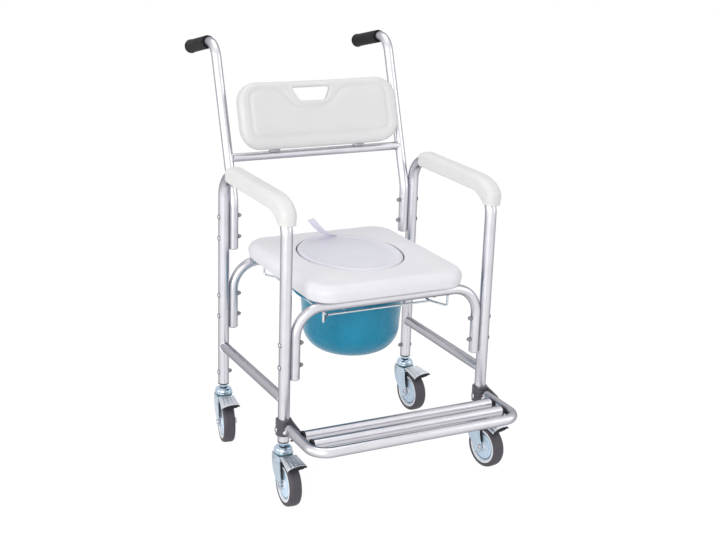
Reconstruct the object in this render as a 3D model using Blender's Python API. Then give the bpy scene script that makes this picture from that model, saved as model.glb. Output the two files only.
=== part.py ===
"""Wheeled commode chair: a bolted aluminium tube chair on four braked swivel casters.

Metres, +Z up, the floor is z = 0 and the chair faces -Y. Sizes are laid out from a point on the
floor midway between the four legs, and the finished chair is then moved so that the middle of its
outline stands on the origin. Right and left are the sitter's, so the right side is at -X.
"""
import math

import bmesh
import bpy
from mathutils import Matrix, Vector

# Clearances
GAP = 0.0003  # left between pieces that touch or turn in each other

# Casters, measured up from the floor and out from the stem's axis
WHEEL_R = 0.049
TYRE_WIDTH = 0.027
TYRE_DEPTH = 0.0095  # from the tread to the core
SHOULDER_DROP = 0.0025
SHOULDER_WIDTH = 0.0075
CASTER_TRAIL = 0.035  # from the stem's axis to the wheel's
CASTER_HEADINGS = {"front_right": -3, "front_left": 8, "rear_right": -10.3, "rear_left": 4}  # degrees
TYRE_CLEARANCE = 0.005  # from the tread up to the fork's crown
FORK_SIDE_CLEARANCE = 0.0035  # from the tyre to a cheek
CROWN_SHEET = 0.003
CHEEK_SHEET = 0.0025
CROWN_BACK = 0.017  # the crown's reach behind the stem
CROWN_FRONT = 0.027
CROWN_SKIRT = 0.012  # how far the cheeks run straight down before they taper
AXLE_BOSS_R = 0.011
AXLE_R = 0.004
AXLE_HEAD_R = 0.0075
AXLE_HEAD = 0.004
HUB_R = 0.010
RIM_INNER_R = 0.033
RIM_INSET = 0.001
WEB_DEPTH = 0.0045  # how far the wheel's disc lies inside the tyre's side
STEM_R = 0.005
DOME_R = 0.0205
DOME_HEIGHT = 0.018
DOME_BEND_R = 0.010
RIVET_HEAD_R = 0.0075
RIVET_HEAD = 0.0024
STEM_NUT_R = 0.010
STEM_NUT_HEIGHT = 0.006
SOCKET_FLANGE = 0.0024
SOCKET_ABOVE_BOLT = 0.010
SOCKET_FLOOR = 0.004  # between the stem's bore and the lock bolt
PEDAL_WIDTH = 0.043
PEDAL_OFFSET = 0.0015  # the plate lies a little to the left of the wheel
PEDAL_SHEET = 0.0025
PEDAL_REACH = 0.079  # from the stem's axis to the plate's front edge
PEDAL_SLOPE = math.radians(15)
PEDAL_PIN_R = 0.002
PEDAL_PIN_FORWARD = 0.020  # from the stem's axis
PEDAL_ARM_SHEET = 0.002
PEDAL_ARM_REACH = 0.018  # of arm under the plate
PEDAL_EYE = 0.001  # of arm round the pin
PEDAL_RISE = 0.0045  # from the crown up to the plate's line
PEDAL_CLEARANCE = 0.0015  # from the crown to the plate and its arms

# Side frames
LEG_TUBE_R = 0.0127
TUBE_WALL = 0.0012
FRAME_HALF_WIDTH = 0.244  # the legs' centre lines
LEG_HALF_SPACING = 0.176  # front and rear legs' centre lines
ARM_RUN_Z = 0.643
ARM_BEND_R = 0.058
THIN_TUBE_R = 0.0111
BRACE_Z = 0.226

# Seat bows, which stand inside the legs
BOW_RUN_Z = 0.425
BOW_BEND_R = 0.062
BOW_BOTTOM_Z = 0.271
BOW_BOLT_HEIGHTS = (0.351, 0.301)

# Back posts with push handles
POST_BOTTOM_Z = 0.461
POST_BOLT_HEIGHTS = (0.538, 0.488)
POST_BEND_Z = 0.5715
POST_BEND_R = 0.080
RECLINE = math.radians(19.2)
HANDLE_BEND_Z = 0.919
HANDLE_BEND_R = 0.043
HANDLE_DROP = math.radians(12.8)
HANDLE_LENGTH = 0.157  # from the bend's corner to the tube's end
GRIP_LENGTH = 0.118  # of tube inside the grip
GRIP_R = 0.0165
GRIP_END = 0.004
GRIP_BEAD = 0.008
GRIP_BEAD_STEP = 0.0015
GRIP_TIP_ROUND = 0.003
CROSSBAR_R = 0.0095
CROSSBAR_Z = 0.6645

# Backrest, measured up the reclined posts from the crossbar
PANEL_BOTTOM = 0.0105
PANEL_TOP = 0.163
PANEL_THICKNESS = 0.0345
PANEL_CORNER_R = 0.048
PANEL_SIDE_CLEARANCE = 0.0115  # from a post to the panel's side
PANEL_EDGE_R = 0.012
PANEL_BACK_EDGE = 0.006
PANEL_BOW = 0.016  # how far its middle lies behind its sides
PANEL_BOW_FOLDS = (0.045, 0.120)  # where its flat strips meet, out from the middle
PANEL_CROWN = ((0.0, 0.003), (0.026, 0.0012), (0.048, 0.0))  # in from the edge, down from the middle
HOLE_BOTTOM = 0.1155
HOLE_TOP = 0.1475
HOLE_TOP_WIDTH = 0.110
HOLE_BOTTOM_WIDTH = 0.074
HOLE_CORNER = 0.007
GROOVE_INSET = 0.026
GROOVE_TOP = 0.020  # from the panel's top down to the groove
GROOVE_DIP = 0.016  # from the handle hole down to the groove
GROOVE_DIP_WIDTH = 0.090
GROOVE_BESIDE_HOLE = 0.029
GROOVE_BEND_R = 0.034
GROOVE_TURN_R = 0.011
GROOVE_R = 0.004
BRACKET_X = 0.108
BRACKET_WIDTH = 0.024
BRACKET_SHEET = 0.0024
BRACKET_TOP = 0.104
HOOK_START = math.radians(145)  # round the crossbar, from its rear
HOOK_END = math.radians(-60)
BRACKET_SCREW_HEIGHTS = (0.062, 0.090)
SCREW_R = 0.002
SCREW_HEAD_R = 0.004
SCREW_CROWN_R = 0.0024
SCREW_HEAD = 0.002
SCREW_BITE = 0.012  # thread length in moulded or padded pieces

# Arm pads
PAD_HALF_WIDTH = 0.0195
PAD_ABOVE_TUBE = 0.028  # from the tube's centre line to the pad's top
PAD_BELOW_TUBE = 0.011
PAD_SHOULDER_R = 0.011
PAD_NOSE_R = 0.0165
PAD_EDGE = 0.002
PAD_REAR_Y = 0.130
PAD_REAR_ROUND = ((0.0, 0.0095, 0.0075), (0.003, 0.003, 0.002), (0.010, 0.0, 0.0))  # in, down and up
PAD_FRONT_Z = 0.609
PAD_FRONT_FALL = 0.038  # of the pad's top round the front bend
PAD_STEPS = 4

# Seat and lid
SEAT_FRONT = 0.203
SEAT_REAR = 0.211
SEAT_SIDE_CLEARANCE = 0.0225  # from a back post to the seat's side
SEAT_HEIGHT = 0.0375
SEAT_CORNER_R = 0.055
SEAT_SHOULDER_R = 0.020
SEAT_CROWN = 0.0015
SEAT_WAIST = 0.002  # how far the sides draw in at the foot
SEAT_EDGE = 0.004
SEAT_SCREW_X = 0.110
LID_HALF_WIDTH = 0.1194
LID_HALF_LENGTH = 0.1458
LID_Y = 0.014
LID_SIDE_GAP = 0.0042
LID_END_GAP = 0.0018
LID_LEDGE_WIDTH = 0.017
LID_THICKNESS = 0.0205
LID_ABOVE_SEAT = 0.002
LID_PLUG_DEPTH = 0.010
LID_PLUG_CLEARANCE = 0.002
LID_EDGE = 0.004
LID_RIM_R = 0.010
LID_CROWN = ((0.022, 0.0016), (0.055, 0.0))  # in from the edge, down from the middle
STRAP_WIDTH = 0.017
STRAP_THICKNESS = 0.0014
STRAP_REST = 0.002  # from the lid's rear edge in to the strap's root
STRAP_ACROSS = (1.0, -0.5, 0.0)  # the way that its width runs, as near as the ribbon's own run allows
STRAP_KNOTS = ((0.026, 0.0, 0.0), (0.002, 0.009, 0.001), (-0.020, 0.017, 0.007),
               (-0.036, 0.023, 0.020), (-0.055, 0.028, 0.0445))  # left, forward and up

# Pail and its wire rails
WIRE_R = 0.0025
RAIL_CLEARANCE = 0.0035  # from the pail to a rail
RAIL_Z = 0.389
STOP_WIRE_CLEARANCE = 0.0155  # from the pail forward to the stop wire
RAIL_REAR_Y = 0.150
HANGER_FRONT_X = {"right": 0.157, "left": 0.145}
HANGER_REAR_X = 0.143
HANGER_BEND_R = 0.006
PAIL_Y = 0.005
PAIL_FLANGE_WIDTH = 0.014
PAIL_FLANGE = 0.0025
PAIL_FILLET = 0.001
PAIL_RIM_HEIGHT = 0.016  # from the rails up to the rim
PAIL_WALL = 0.0025
PAIL_TOP_R = 0.121
PAIL_WAIST_R = 0.1145
PAIL_WAIST_DEPTH = 0.037  # below the flange
PAIL_FOOT_R = 0.1105
PAIL_FOOT_BEND_R = 0.055
PAIL_DEPTH = 0.140  # below the flange

# Footrest
FOOTREST_Z = 0.170
FOOTREST_PIVOT_FORWARD = 0.0405  # from the front legs' centre line
FOOTREST_REACH = 0.163  # from the front legs' centre line to the front bar's
FOOTREST_TAIL = 0.011  # of tube behind the pivot
FOOTREST_BEND_R = 0.037
SLAT_FORWARD = (0.069, 0.114)  # from the front legs' centre line
SLAT_CAP = 0.005
SLAT_PLUG = 0.012  # of cap inside the slat
CLAMP_WALL = 0.0045
CLAMP_ABOVE = 0.014  # the collar's top over the footrest's plane
CLAMP_BELOW = 0.022
CHEEK_THICKNESS = 0.0045
CHEEK_REACH = 0.017  # from the pivot to the cheek's tip
CHEEK_INSET = 0.001  # from the collar's ends to the cheek's edges
CHEEK_SHAPE = ((0.022, -0.018), (0.0545, -0.0155), (0.0575, -0.012), (0.0575, 0.002),
               (0.0535, 0.006), (0.011, 0.013))  # forward of the leg, up from the footrest's plane
STOP_SHEET = 0.003  # of the cheek's stop under the footrest's side tube
STOP_LENGTH = 0.004
STOP_REACH = 0.008

# Fasteners
BOLT_R = 0.003
BOLT_HEAD_R = 0.0058
BOLT_CROWN_R = 0.0035
BOLT_HEAD = 0.0028
NUT_R = 0.0056
NUT_TIP_R = 0.003
NUT_LENGTH = 0.0085
LOCK_BOLT_DROP = 0.009  # from the footrest's plane down to the legs' lock bolts

# Facets
TUBE_SIDES = 12
WHEEL_SIDES = 16
PAIL_SIDES = 24
LID_SIDES = 28
BOLT_SIDES = 6
AXLE_SIDES = 8
STEM_SIDES = 10
WRAP_STEPS = 8
BORE_SIDES = 18
BEND_STEP = math.radians(22.5)


def flat(radius, sides=TUBE_SIDES):
    """How far a facet of a round piece lies from its centre."""
    return radius * math.cos(math.pi / sides)


# Sizes worked out from the ones above
AXLE_Z = WHEEL_R
CROWN_TOP = 2 * WHEEL_R + TYRE_CLEARANCE + CROWN_SHEET
STEM_NUT_Z = CROWN_TOP + GAP + DOME_HEIGHT + GAP
LEG_BOTTOM_Z = STEM_NUT_Z + STEM_NUT_HEIGHT + GAP + SOCKET_FLANGE + GAP
FORK_INNER = TYRE_WIDTH / 2 + FORK_SIDE_CLEARANCE
FORK_OUTER = FORK_INNER + CHEEK_SHEET
PEDAL_EYE_R = PEDAL_PIN_R + PEDAL_EYE
PEDAL_PIN_Z = CROWN_TOP - CROWN_SHEET - GAP - PEDAL_EYE_R
LOCK_BOLT_Z = FOOTREST_Z - LOCK_BOLT_DROP
BOW_X = FRAME_HALF_WIDTH - flat(LEG_TUBE_R) - GAP - flat(THIN_TUBE_R)
RAIL_TOP = RAIL_Z + WIRE_R
RAIL_X = PAIL_TOP_R + RAIL_CLEARANCE + WIRE_R
RAIL_FRONT_Y = PAIL_Y - PAIL_TOP_R - STOP_WIRE_CLEARANCE - WIRE_R
PAIL_FLANGE_R = PAIL_TOP_R + PAIL_FLANGE_WIDTH
SEAT_BOTTOM = BOW_RUN_Z + flat(THIN_TUBE_R) + GAP
SEAT_TOP = SEAT_BOTTOM + SEAT_HEIGHT
SEAT_HALF_WIDTH = BOW_X - THIN_TUBE_R - SEAT_SIDE_CLEARANCE
LID_TOP = SEAT_TOP + LID_ABOVE_SEAT
LEDGE_Z = LID_TOP - LID_THICKNESS - GAP
PANEL_HALF_WIDTH = BOW_X - THIN_TUBE_R - PANEL_SIDE_CLEARANCE
PANEL_BACK = CROSSBAR_R + GAP + BRACKET_SHEET + GAP
CROSSBAR_Y = LEG_HALF_SPACING + (CROSSBAR_Z - POST_BEND_Z) * math.tan(RECLINE)
CROSSBAR_AT = Matrix.Translation((0, CROSSBAR_Y, CROSSBAR_Z)) @ Matrix.Rotation(-RECLINE, 4, "X")
PIVOT_Y = -LEG_HALF_SPACING - FOOTREST_PIVOT_FORWARD
CLAMP_R = LEG_TUBE_R + GAP + CLAMP_WALL
BOLT_HOLE_R = BOLT_R + GAP
TUBE_REACH = 2 * THIN_TUBE_R  # of a cutter past a thin tube
SIDES = {"right": -1, "left": 1}
ENDS = {"front": -1, "rear": 1}


def finish(name, colour, roughness, metallic=0.0):
    """One plain shader."""
    material = bpy.data.materials.new(name)
    material.use_nodes = True
    shader = material.node_tree.nodes["Principled BSDF"]
    shader.inputs["Base Color"].default_value = (*colour, 1)
    shader.inputs["Roughness"].default_value = roughness
    shader.inputs["Metallic"].default_value = metallic
    material.diffuse_color = (*colour, 1)
    return material


def clear_scene():
    """Empty the file."""
    for thing in list(bpy.data.objects):
        bpy.data.objects.remove(thing)


def mesh_from(bm):
    """Close a bmesh into a mesh whose faces point outwards."""
    bmesh.ops.recalc_face_normals(bm, faces=bm.faces)
    mesh = bpy.data.meshes.new("shape")
    bm.to_mesh(mesh)
    bm.free()
    return mesh


def loft(rings, looped=False):
    """Skin rings of equal length; a looped row closes on itself, another gets flat ends."""
    bm = bmesh.new()
    rows = [[bm.verts.new(point) for point in ring] for ring in rings]
    pairs = list(zip(rows, rows[1:]))
    if looped:
        pairs.append((rows[-1], rows[0]))
    else:
        bm.faces.new(rows[0])
        bm.faces.new(rows[-1])
    for near, far in pairs:
        for i in range(len(near)):
            j = (i + 1) % len(near)
            bm.faces.new((near[i], near[j], far[j], far[i]))
    return mesh_from(bm)


def turned(profile, sides, place=Matrix(), looped=False, phase=0.5):
    """Turn (radius, height) points about a local Z axis."""
    rings = []
    for radius, height in profile:
        ring = []
        for i in range(sides):
            angle = math.tau * (i + phase) / sides
            ring.append(place @ Vector((radius * math.cos(angle), radius * math.sin(angle), height)))
        rings.append(ring)
    return loft(rings, looped)


def rod(radius, start, end, sides=BOLT_SIDES):
    """A plain round bar between two points."""
    start, end = Vector(start), Vector(end)
    place = toward(start, end - start)
    return turned([(radius, 0), (radius, (end - start).length)], sides, place)


def extruded(outline, low, high, place=Matrix()):
    """Push an outline of local (Y, Z) points along local X from low to high."""
    return loft([[place @ Vector((x, y, z)) for y, z in outline] for x in (low, high)])


def block(low, high):
    """A box between two corners."""
    outline = [(low[1], low[2]), (high[1], low[2]), (high[1], high[2]), (low[1], high[2])]
    return extruded(outline, low[0], high[0])


def toward(point, direction):
    """A place at a point with local Z along a direction."""
    turn = Vector(direction).to_track_quat("Z", "Y").to_matrix().to_4x4()
    return Matrix.Translation(point) @ turn


def joined(meshes):
    """Put separate solids into one mesh."""
    bm = bmesh.new()
    for mesh in meshes:
        bm.from_mesh(mesh)
    return mesh_from(bm)


def combine(base, tool, operation):
    """Apply one Boolean to a mesh."""
    scene = bpy.context.scene.collection
    pair = [bpy.data.objects.new("shape", mesh) for mesh in (base, tool)]
    for thing in pair:
        scene.objects.link(thing)
    modifier = pair[0].modifiers.new("combine", "BOOLEAN")
    modifier.operation = operation
    modifier.solver = "EXACT"
    modifier.object = pair[1]
    ready = pair[0].evaluated_get(bpy.context.evaluated_depsgraph_get())
    mesh = bpy.data.meshes.new_from_object(ready)
    for thing in pair:
        bpy.data.objects.remove(thing)
    return mesh


def cut(base, *tools):
    """Take separate tools out of a mesh."""
    return combine(base, joined(tools), "DIFFERENCE")


def fused(base, *others):
    """Make one solid of overlapping ones."""
    for other in others:
        base = combine(base, other, "UNION")
    return base


def arc(centre, radius, start, end, steps):
    """Points on an arc in a plane, angles in radians."""
    points = []
    for i in range(steps + 1):
        angle = start + (end - start) * i / steps
        points.append((centre[0] + radius * math.cos(angle), centre[1] + radius * math.sin(angle)))
    return points


def rounded_outline(half_x, low_y, high_y, radius, steps, side_points=0):
    """A rectangle with round corners, counter-clockwise, with extra points along its sides."""
    corners = [(half_x - radius, high_y - radius, 0), (radius - half_x, high_y - radius, 90),
               (radius - half_x, low_y + radius, 180), (half_x - radius, low_y + radius, 270)]
    arcs = []
    for x, y, angle in corners:
        arcs.append(arc((x, y), radius, math.radians(angle), math.radians(angle + 90), steps))
    outline = []
    for near, far in zip(arcs, arcs[1:] + arcs[:1]):
        outline += near
        for i in range(side_points):
            share = (i + 1) / (side_points + 1)
            outline.append(tuple(Vector(near[-1]).lerp(Vector(far[0]), share)))
    return outline


def bent_path(corners, radii, steps=None):
    """A path through corner points, with a round bend of the given radius at each inner one."""
    corners = [Vector(corner) for corner in corners]
    path = [corners[0]]
    for before, corner, after, radius in zip(corners, corners[1:], corners[2:], radii):
        arrive = (corner - before).normalized()
        leave = (after - corner).normalized()
        angle = arrive.angle(leave)
        start = corner - arrive * radius * math.tan(angle / 2)
        inward = (leave - arrive * arrive.dot(leave)).normalized()
        centre = start + inward * radius
        count = steps or max(2, round(angle / BEND_STEP))
        for i in range(count + 1):
            turn = angle * i / count
            path.append(centre - inward * radius * math.cos(turn) + arrive * radius * math.sin(turn))
    return path + [corners[-1]]


def sweep_rings(path, radius, sides, across):
    """Round sections square to a path; across is a direction that the path never runs along."""
    rings = []
    side = Vector(across)
    for i, point in enumerate(path):
        ahead = path[min(i + 1, len(path) - 1)] - point
        behind = point - path[max(i - 1, 0)]
        along = (ahead.normalized() + behind.normalized()).normalized()
        side = (side - along * side.dot(along)).normalized()
        up = along.cross(side)
        ring = []
        for k in range(sides):
            angle = math.tau * (k + 0.5) / sides
            ring.append(point + (side * math.cos(angle) + up * math.sin(angle)) * radius)
        rings.append(ring)
    return rings


def tube(path, radius, across, sides=TUBE_SIDES):
    """An open tube with a wall."""
    outside = sweep_rings(path, radius, sides, across)
    inside = sweep_rings(path, radius - TUBE_WALL, sides, across)
    return loft(outside + inside[::-1], looped=True)


def bar(path, radius, across, sides=BOLT_SIDES):
    """A solid bar or a cutter along a path."""
    return loft(sweep_rings(path, radius, sides, across))


def place(name, mesh, material, parent=None, origin=(0, 0, 0)):
    """Make the named object of a mesh, with its origin where its joint's axis runs."""
    mesh = mesh.copy()
    mesh.name = name
    mesh.transform(Matrix.Translation(-Vector(origin)))
    mesh.materials.clear()
    mesh.materials.append(material)
    mesh.shade_smooth()
    mesh.set_sharp_from_angle(angle=math.radians(32))
    piece = bpy.data.objects.new(name, mesh)
    bpy.context.scene.collection.objects.link(piece)
    piece.location = origin
    piece.parent = parent
    return piece


def bolt(head_at, outward, grip_length):
    """A bolt with a domed head and a cap nut; head_at is the centre of the head's under face."""
    nut = -grip_length
    profile = [(NUT_TIP_R, nut - NUT_LENGTH), (NUT_R, nut), (BOLT_R, nut), (BOLT_R, 0),
               (BOLT_HEAD_R, 0), (BOLT_CROWN_R, BOLT_HEAD)]
    return turned(profile, BOLT_SIDES, toward(head_at, outward))


def screw(head_at, outward, length):
    """A small screw with a round head; head_at is the centre of the head's under face."""
    profile = [(SCREW_R, -length), (SCREW_R, 0), (SCREW_HEAD_R, 0), (SCREW_CROWN_R, SCREW_HEAD)]
    return turned(profile, BOLT_SIDES, toward(head_at, outward))


def side_frame(side):
    """Front leg, arm run and rear leg in one bent tube, with the bolts that pass through the legs.

    The bolts hold the bows, the posts and the caster sockets, with their heads outside.
    """
    x = side * FRAME_HALF_WIDTH
    fasteners = []
    head = FRAME_HALF_WIDTH + flat(LEG_TUBE_R) - GAP
    grip_length = head - (BOW_X - flat(THIN_TUBE_R) - GAP)
    for end in ENDS.values():
        y = end * LEG_HALF_SPACING
        for z in BOW_BOLT_HEIGHTS + (POST_BOLT_HEIGHTS if end > 0 else ()):
            fasteners.append(bolt((side * head, y, z), (side, 0, 0), grip_length))
    front, rear = flat(CLAMP_R) + GAP, flat(LEG_TUBE_R) - GAP
    fasteners.append(bolt((x - front, -LEG_HALF_SPACING, LOCK_BOLT_Z), (-1, 0, 0), 2 * front))
    fasteners.append(bolt((x + side * rear, LEG_HALF_SPACING, LOCK_BOLT_Z), (side, 0, 0), 2 * rear))
    return fused(tube(frame_path(x), LEG_TUBE_R, (1, 0, 0)), *fasteners)


def frame_path(x):
    """The side frame's centre line."""
    y = LEG_HALF_SPACING
    corners = [(x, -y, LEG_BOTTOM_Z), (x, -y, ARM_RUN_Z), (x, y, ARM_RUN_Z), (x, y, LEG_BOTTOM_Z)]
    return bent_path(corners, [ARM_BEND_R, ARM_BEND_R])


def side_brace(side):
    """A low tube from leg to leg, its ends shaped round the legs."""
    x = side * FRAME_HALF_WIDTH
    ends = [Vector((x, end * LEG_HALF_SPACING, BRACE_Z)) for end in (-1, 1)]
    reach = Vector((0, 0, TUBE_REACH))
    legs = [rod(LEG_TUBE_R + GAP, end - reach, end + reach, BORE_SIDES) for end in ends]
    return cut(tube(ends, THIN_TUBE_R, (1, 0, 0)), *legs)


def seat_bow(end):
    """An inverted-U tube inside the front or rear legs, with the screws that hold the seat on it."""
    y = end * LEG_HALF_SPACING
    corners = [(-BOW_X, y, BOW_BOTTOM_Z), (-BOW_X, y, BOW_RUN_Z), (BOW_X, y, BOW_RUN_Z),
               (BOW_X, y, BOW_BOTTOM_Z)]
    holes, screws = [], []
    for side in SIDES.values():
        x = side * BOW_X
        for z in BOW_BOLT_HEIGHTS:
            holes.append(rod(BOLT_HOLE_R, (x - TUBE_REACH, y, z), (x + TUBE_REACH, y, z)))
        under = (side * SEAT_SCREW_X, y, BOW_RUN_Z - flat(THIN_TUBE_R) + GAP)
        screws.append(screw(under, (0, 0, -1), SEAT_BOTTOM - under[2] + SCREW_BITE))
    bow = tube(bent_path(corners, [BOW_BEND_R, BOW_BEND_R]), THIN_TUBE_R, (0, 1, 0))
    return fused(cut(bow, *holes), *screws)


def post_corners(x):
    """The corner points of a back post's centre line, from its foot to the handle's end."""
    handle_y = LEG_HALF_SPACING + (HANDLE_BEND_Z - POST_BEND_Z) * math.tan(RECLINE)
    end_y = handle_y + HANDLE_LENGTH * math.cos(HANDLE_DROP)
    end_z = HANDLE_BEND_Z - HANDLE_LENGTH * math.sin(HANDLE_DROP)
    return [Vector((x, LEG_HALF_SPACING, POST_BOTTOM_Z)), Vector((x, LEG_HALF_SPACING, POST_BEND_Z)),
            Vector((x, handle_y, HANDLE_BEND_Z)), Vector((x, end_y, end_z))]


def back_post(side):
    """A post bolted inside the rear leg, bent back at the recline and again for the handle."""
    x = side * BOW_X
    path = bent_path(post_corners(x), [POST_BEND_R, HANDLE_BEND_R])
    near, far = x - TUBE_REACH, x + TUBE_REACH
    y = LEG_HALF_SPACING
    holes = [rod(BOLT_HOLE_R, (near, y, z), (far, y, z)) for z in POST_BOLT_HEIGHTS]
    return cut(tube(path, THIN_TUBE_R, (1, 0, 0)), *holes)


def grip(side):
    """A push-handle grip with a bead at each end and a closed tip."""
    corner, tip = post_corners(side * BOW_X)[2:]
    bore = THIN_TUBE_R + GAP
    neck = GRIP_R - GRIP_BEAD_STEP
    mouth = -GRIP_LENGTH
    bead = GRIP_BEAD_STEP + GRIP_BEAD
    end = GAP + GRIP_END
    profile = [(bore, GAP), (bore, mouth), (neck, mouth), (GRIP_R, mouth + GRIP_BEAD_STEP),
               (GRIP_R, mouth + bead), (neck, mouth + bead + GRIP_BEAD_STEP),
               (neck, -GRIP_BEAD - GRIP_BEAD_STEP), (GRIP_R, -GRIP_BEAD), (GRIP_R, end - GRIP_TIP_ROUND),
               (GRIP_R - GRIP_TIP_ROUND, end)]
    return turned(profile, TUBE_SIDES, toward(tip, tip - corner))


def back_crossbar():
    """A thin tube between the posts, its ends shaped round them."""
    ends = [Vector((side * BOW_X, CROSSBAR_Y, CROSSBAR_Z)) for side in (-1, 1)]
    up = Vector((0, math.sin(RECLINE), math.cos(RECLINE))) * 2 * CROSSBAR_R
    posts = [rod(THIN_TUBE_R + GAP, end - up, end + up, BORE_SIDES) for end in ends]
    return cut(tube(ends, CROSSBAR_R, (0, 0, 1)), *posts)


def panel_rings():
    """The backrest's sections from its back face to the middle of its crowned front."""
    front = PANEL_BACK + PANEL_THICKNESS
    edge_drop = PANEL_CROWN[0][1]
    sections = [(-PANEL_BACK_EDGE, PANEL_BACK), (0, PANEL_BACK + PANEL_BACK_EDGE),
                (0, front - edge_drop - PANEL_EDGE_R)]
    for inward, depth in arc((-PANEL_EDGE_R, front - edge_drop - PANEL_EDGE_R), PANEL_EDGE_R,
                             0, math.pi / 2, 2)[1:]:
        sections.append((inward, depth))
    for inset, drop in PANEL_CROWN[1:]:
        sections.append((-inset, front - drop))
    rings = []
    for grow, depth in sections:
        radius = max(PANEL_CORNER_R + grow, PANEL_BACK_EDGE)
        outline = rounded_outline(PANEL_HALF_WIDTH + grow, PANEL_BOTTOM - grow, PANEL_TOP + grow, radius, 4)
        rings.append([Vector((x, -depth, z)) for x, z in outline])
    return rings


def handle_hole():
    """The outline of the backrest's handle hole, wider at the top, with eased corners."""
    top, low = HOLE_TOP_WIDTH / 2, HOLE_BOTTOM_WIDTH / 2
    corners = [(-top, HOLE_TOP), (-low, HOLE_BOTTOM), (low, HOLE_BOTTOM), (top, HOLE_TOP)]
    outline = []
    for i in range(4):
        before, here, after = [Vector(corners[(i + k) % 4]) for k in (-1, 0, 1)]
        back = (before - here).normalized() * HOLE_CORNER
        ahead = (after - here).normalized() * HOLE_CORNER
        outline += [here + back, here + (back + ahead) / 4, here + ahead]
    return outline


def groove_path():
    """The moulded groove's centre line on the panel's front, dipping under the handle hole."""
    half = PANEL_HALF_WIDTH - GROOVE_INSET
    low, high = PANEL_BOTTOM + GROOVE_INSET, PANEL_TOP - GROOVE_TOP
    dip, dip_x = HOLE_BOTTOM - GROOVE_DIP, GROOVE_DIP_WIDTH / 2
    shoulder = HOLE_TOP_WIDTH / 2 + GROOVE_BESIDE_HOLE
    knots = [(-shoulder, high, GROOVE_TURN_R), (-half, high, GROOVE_BEND_R), (-half, low, GROOVE_BEND_R),
             (half, low, GROOVE_BEND_R), (half, high, GROOVE_BEND_R), (shoulder, high, GROOVE_TURN_R),
             (dip_x, dip, GROOVE_TURN_R), (-dip_x, dip, GROOVE_TURN_R)]
    corners = [Vector((x, 0, z)) for x, z, radius in knots]
    path = []
    for i, knot in enumerate(knots):
        before, here, after = [corners[(i + k) % len(corners)] for k in (-1, 0, 1)]
        path += bent_path([(before + here) / 2, here, (here + after) / 2], [knot[2]], 3)[1:-1]
    return path


def backrest_panel():
    """The moulded panel with its handle hole, groove and blind screw holes."""
    front = PANEL_BACK + PANEL_THICKNESS
    hole = [[Vector((x, y, z)) for x, z in handle_hole()] for y in (0, -2 * front)]
    surface = front - PANEL_CROWN[1][1]
    path = groove_path()
    groove = []
    for i, point in enumerate(path):
        along = (path[(i + 1) % len(path)] - path[i - 1]).normalized()
        across = Vector((along.z, 0, -along.x))
        ring = arc((0, -surface), GROOVE_R, 0, math.tau, 4)[:4]
        groove.append([point + across * u + Vector((0, v, 0)) for u, v in ring])
    screws = [rod(SCREW_R + GAP, (x, 0, z), (x, -PANEL_BACK - SCREW_BITE - GAP, z))
              for x, z in bracket_screw_places()]
    panel = cut(cut(cut(loft(panel_rings()), loft(hole)), loft(groove, looped=True)), *screws)
    return bowed(panel)


def bow_depth(x):
    """How far forward the bowed panel lies at a place along X, with flat strips between the folds."""
    knots = [0, *PANEL_BOW_FOLDS, PANEL_HALF_WIDTH]
    depths = [PANEL_BOW * (knot / PANEL_HALF_WIDTH) ** 2 for knot in knots]
    depths[0] = depths[1]
    for near, far, low, high in zip(knots, knots[1:], depths, depths[1:]):
        if abs(x) <= far or far == knots[-1]:
            return low + (high - low) * (abs(x) - near) / (far - near)


def bowed(mesh):
    """Fold the flat panel into strips that bow back in the middle, and stand it on the crossbar."""
    bm = bmesh.new()
    bm.from_mesh(mesh)
    for fold in PANEL_BOW_FOLDS:
        for x in (-fold, fold):
            everything = bm.verts[:] + bm.edges[:] + bm.faces[:]
            bmesh.ops.bisect_plane(bm, geom=everything, plane_co=(x, 0, 0), plane_no=(1, 0, 0))
    level = bow_depth(BRACKET_X - BRACKET_WIDTH / 2)
    for vertex in bm.verts:
        vertex.co.y -= bow_depth(vertex.co.x) - level
        vertex.co = CROSSBAR_AT @ vertex.co
    return mesh_from(bm)


def bracket_screw_places():
    """Screw positions on the two brackets, up the posts from the crossbar."""
    return [(side * BRACKET_X, z) for side in SIDES.values() for z in BRACKET_SCREW_HEIGHTS]


def backrest_bracket(side):
    """A sheet plate behind the panel that hooks over the crossbar, with its two screws."""
    inner = CROSSBAR_R + GAP
    outer = inner + BRACKET_SHEET
    outline = [(-outer, BRACKET_TOP), (-outer, inner * math.sin(HOOK_START))]
    outline += arc((0, 0), inner, HOOK_START, HOOK_END, WRAP_STEPS)
    outline += arc((0, 0), outer, HOOK_END, math.acos(-inner / outer), WRAP_STEPS)
    outline.append((-inner, BRACKET_TOP))
    low = side * BRACKET_X - BRACKET_WIDTH / 2
    back = CROSSBAR_AT.to_3x3() @ Vector((0, 1, 0))
    screws = []
    for z in BRACKET_SCREW_HEIGHTS:
        head = CROSSBAR_AT @ Vector((side * BRACKET_X, GAP - inner, z)) - back * 2 * GAP
        screws.append(screw(head, back, BRACKET_SHEET + SCREW_BITE))
    return fused(extruded(outline, low, low + BRACKET_WIDTH, CROSSBAR_AT), *screws)


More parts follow.
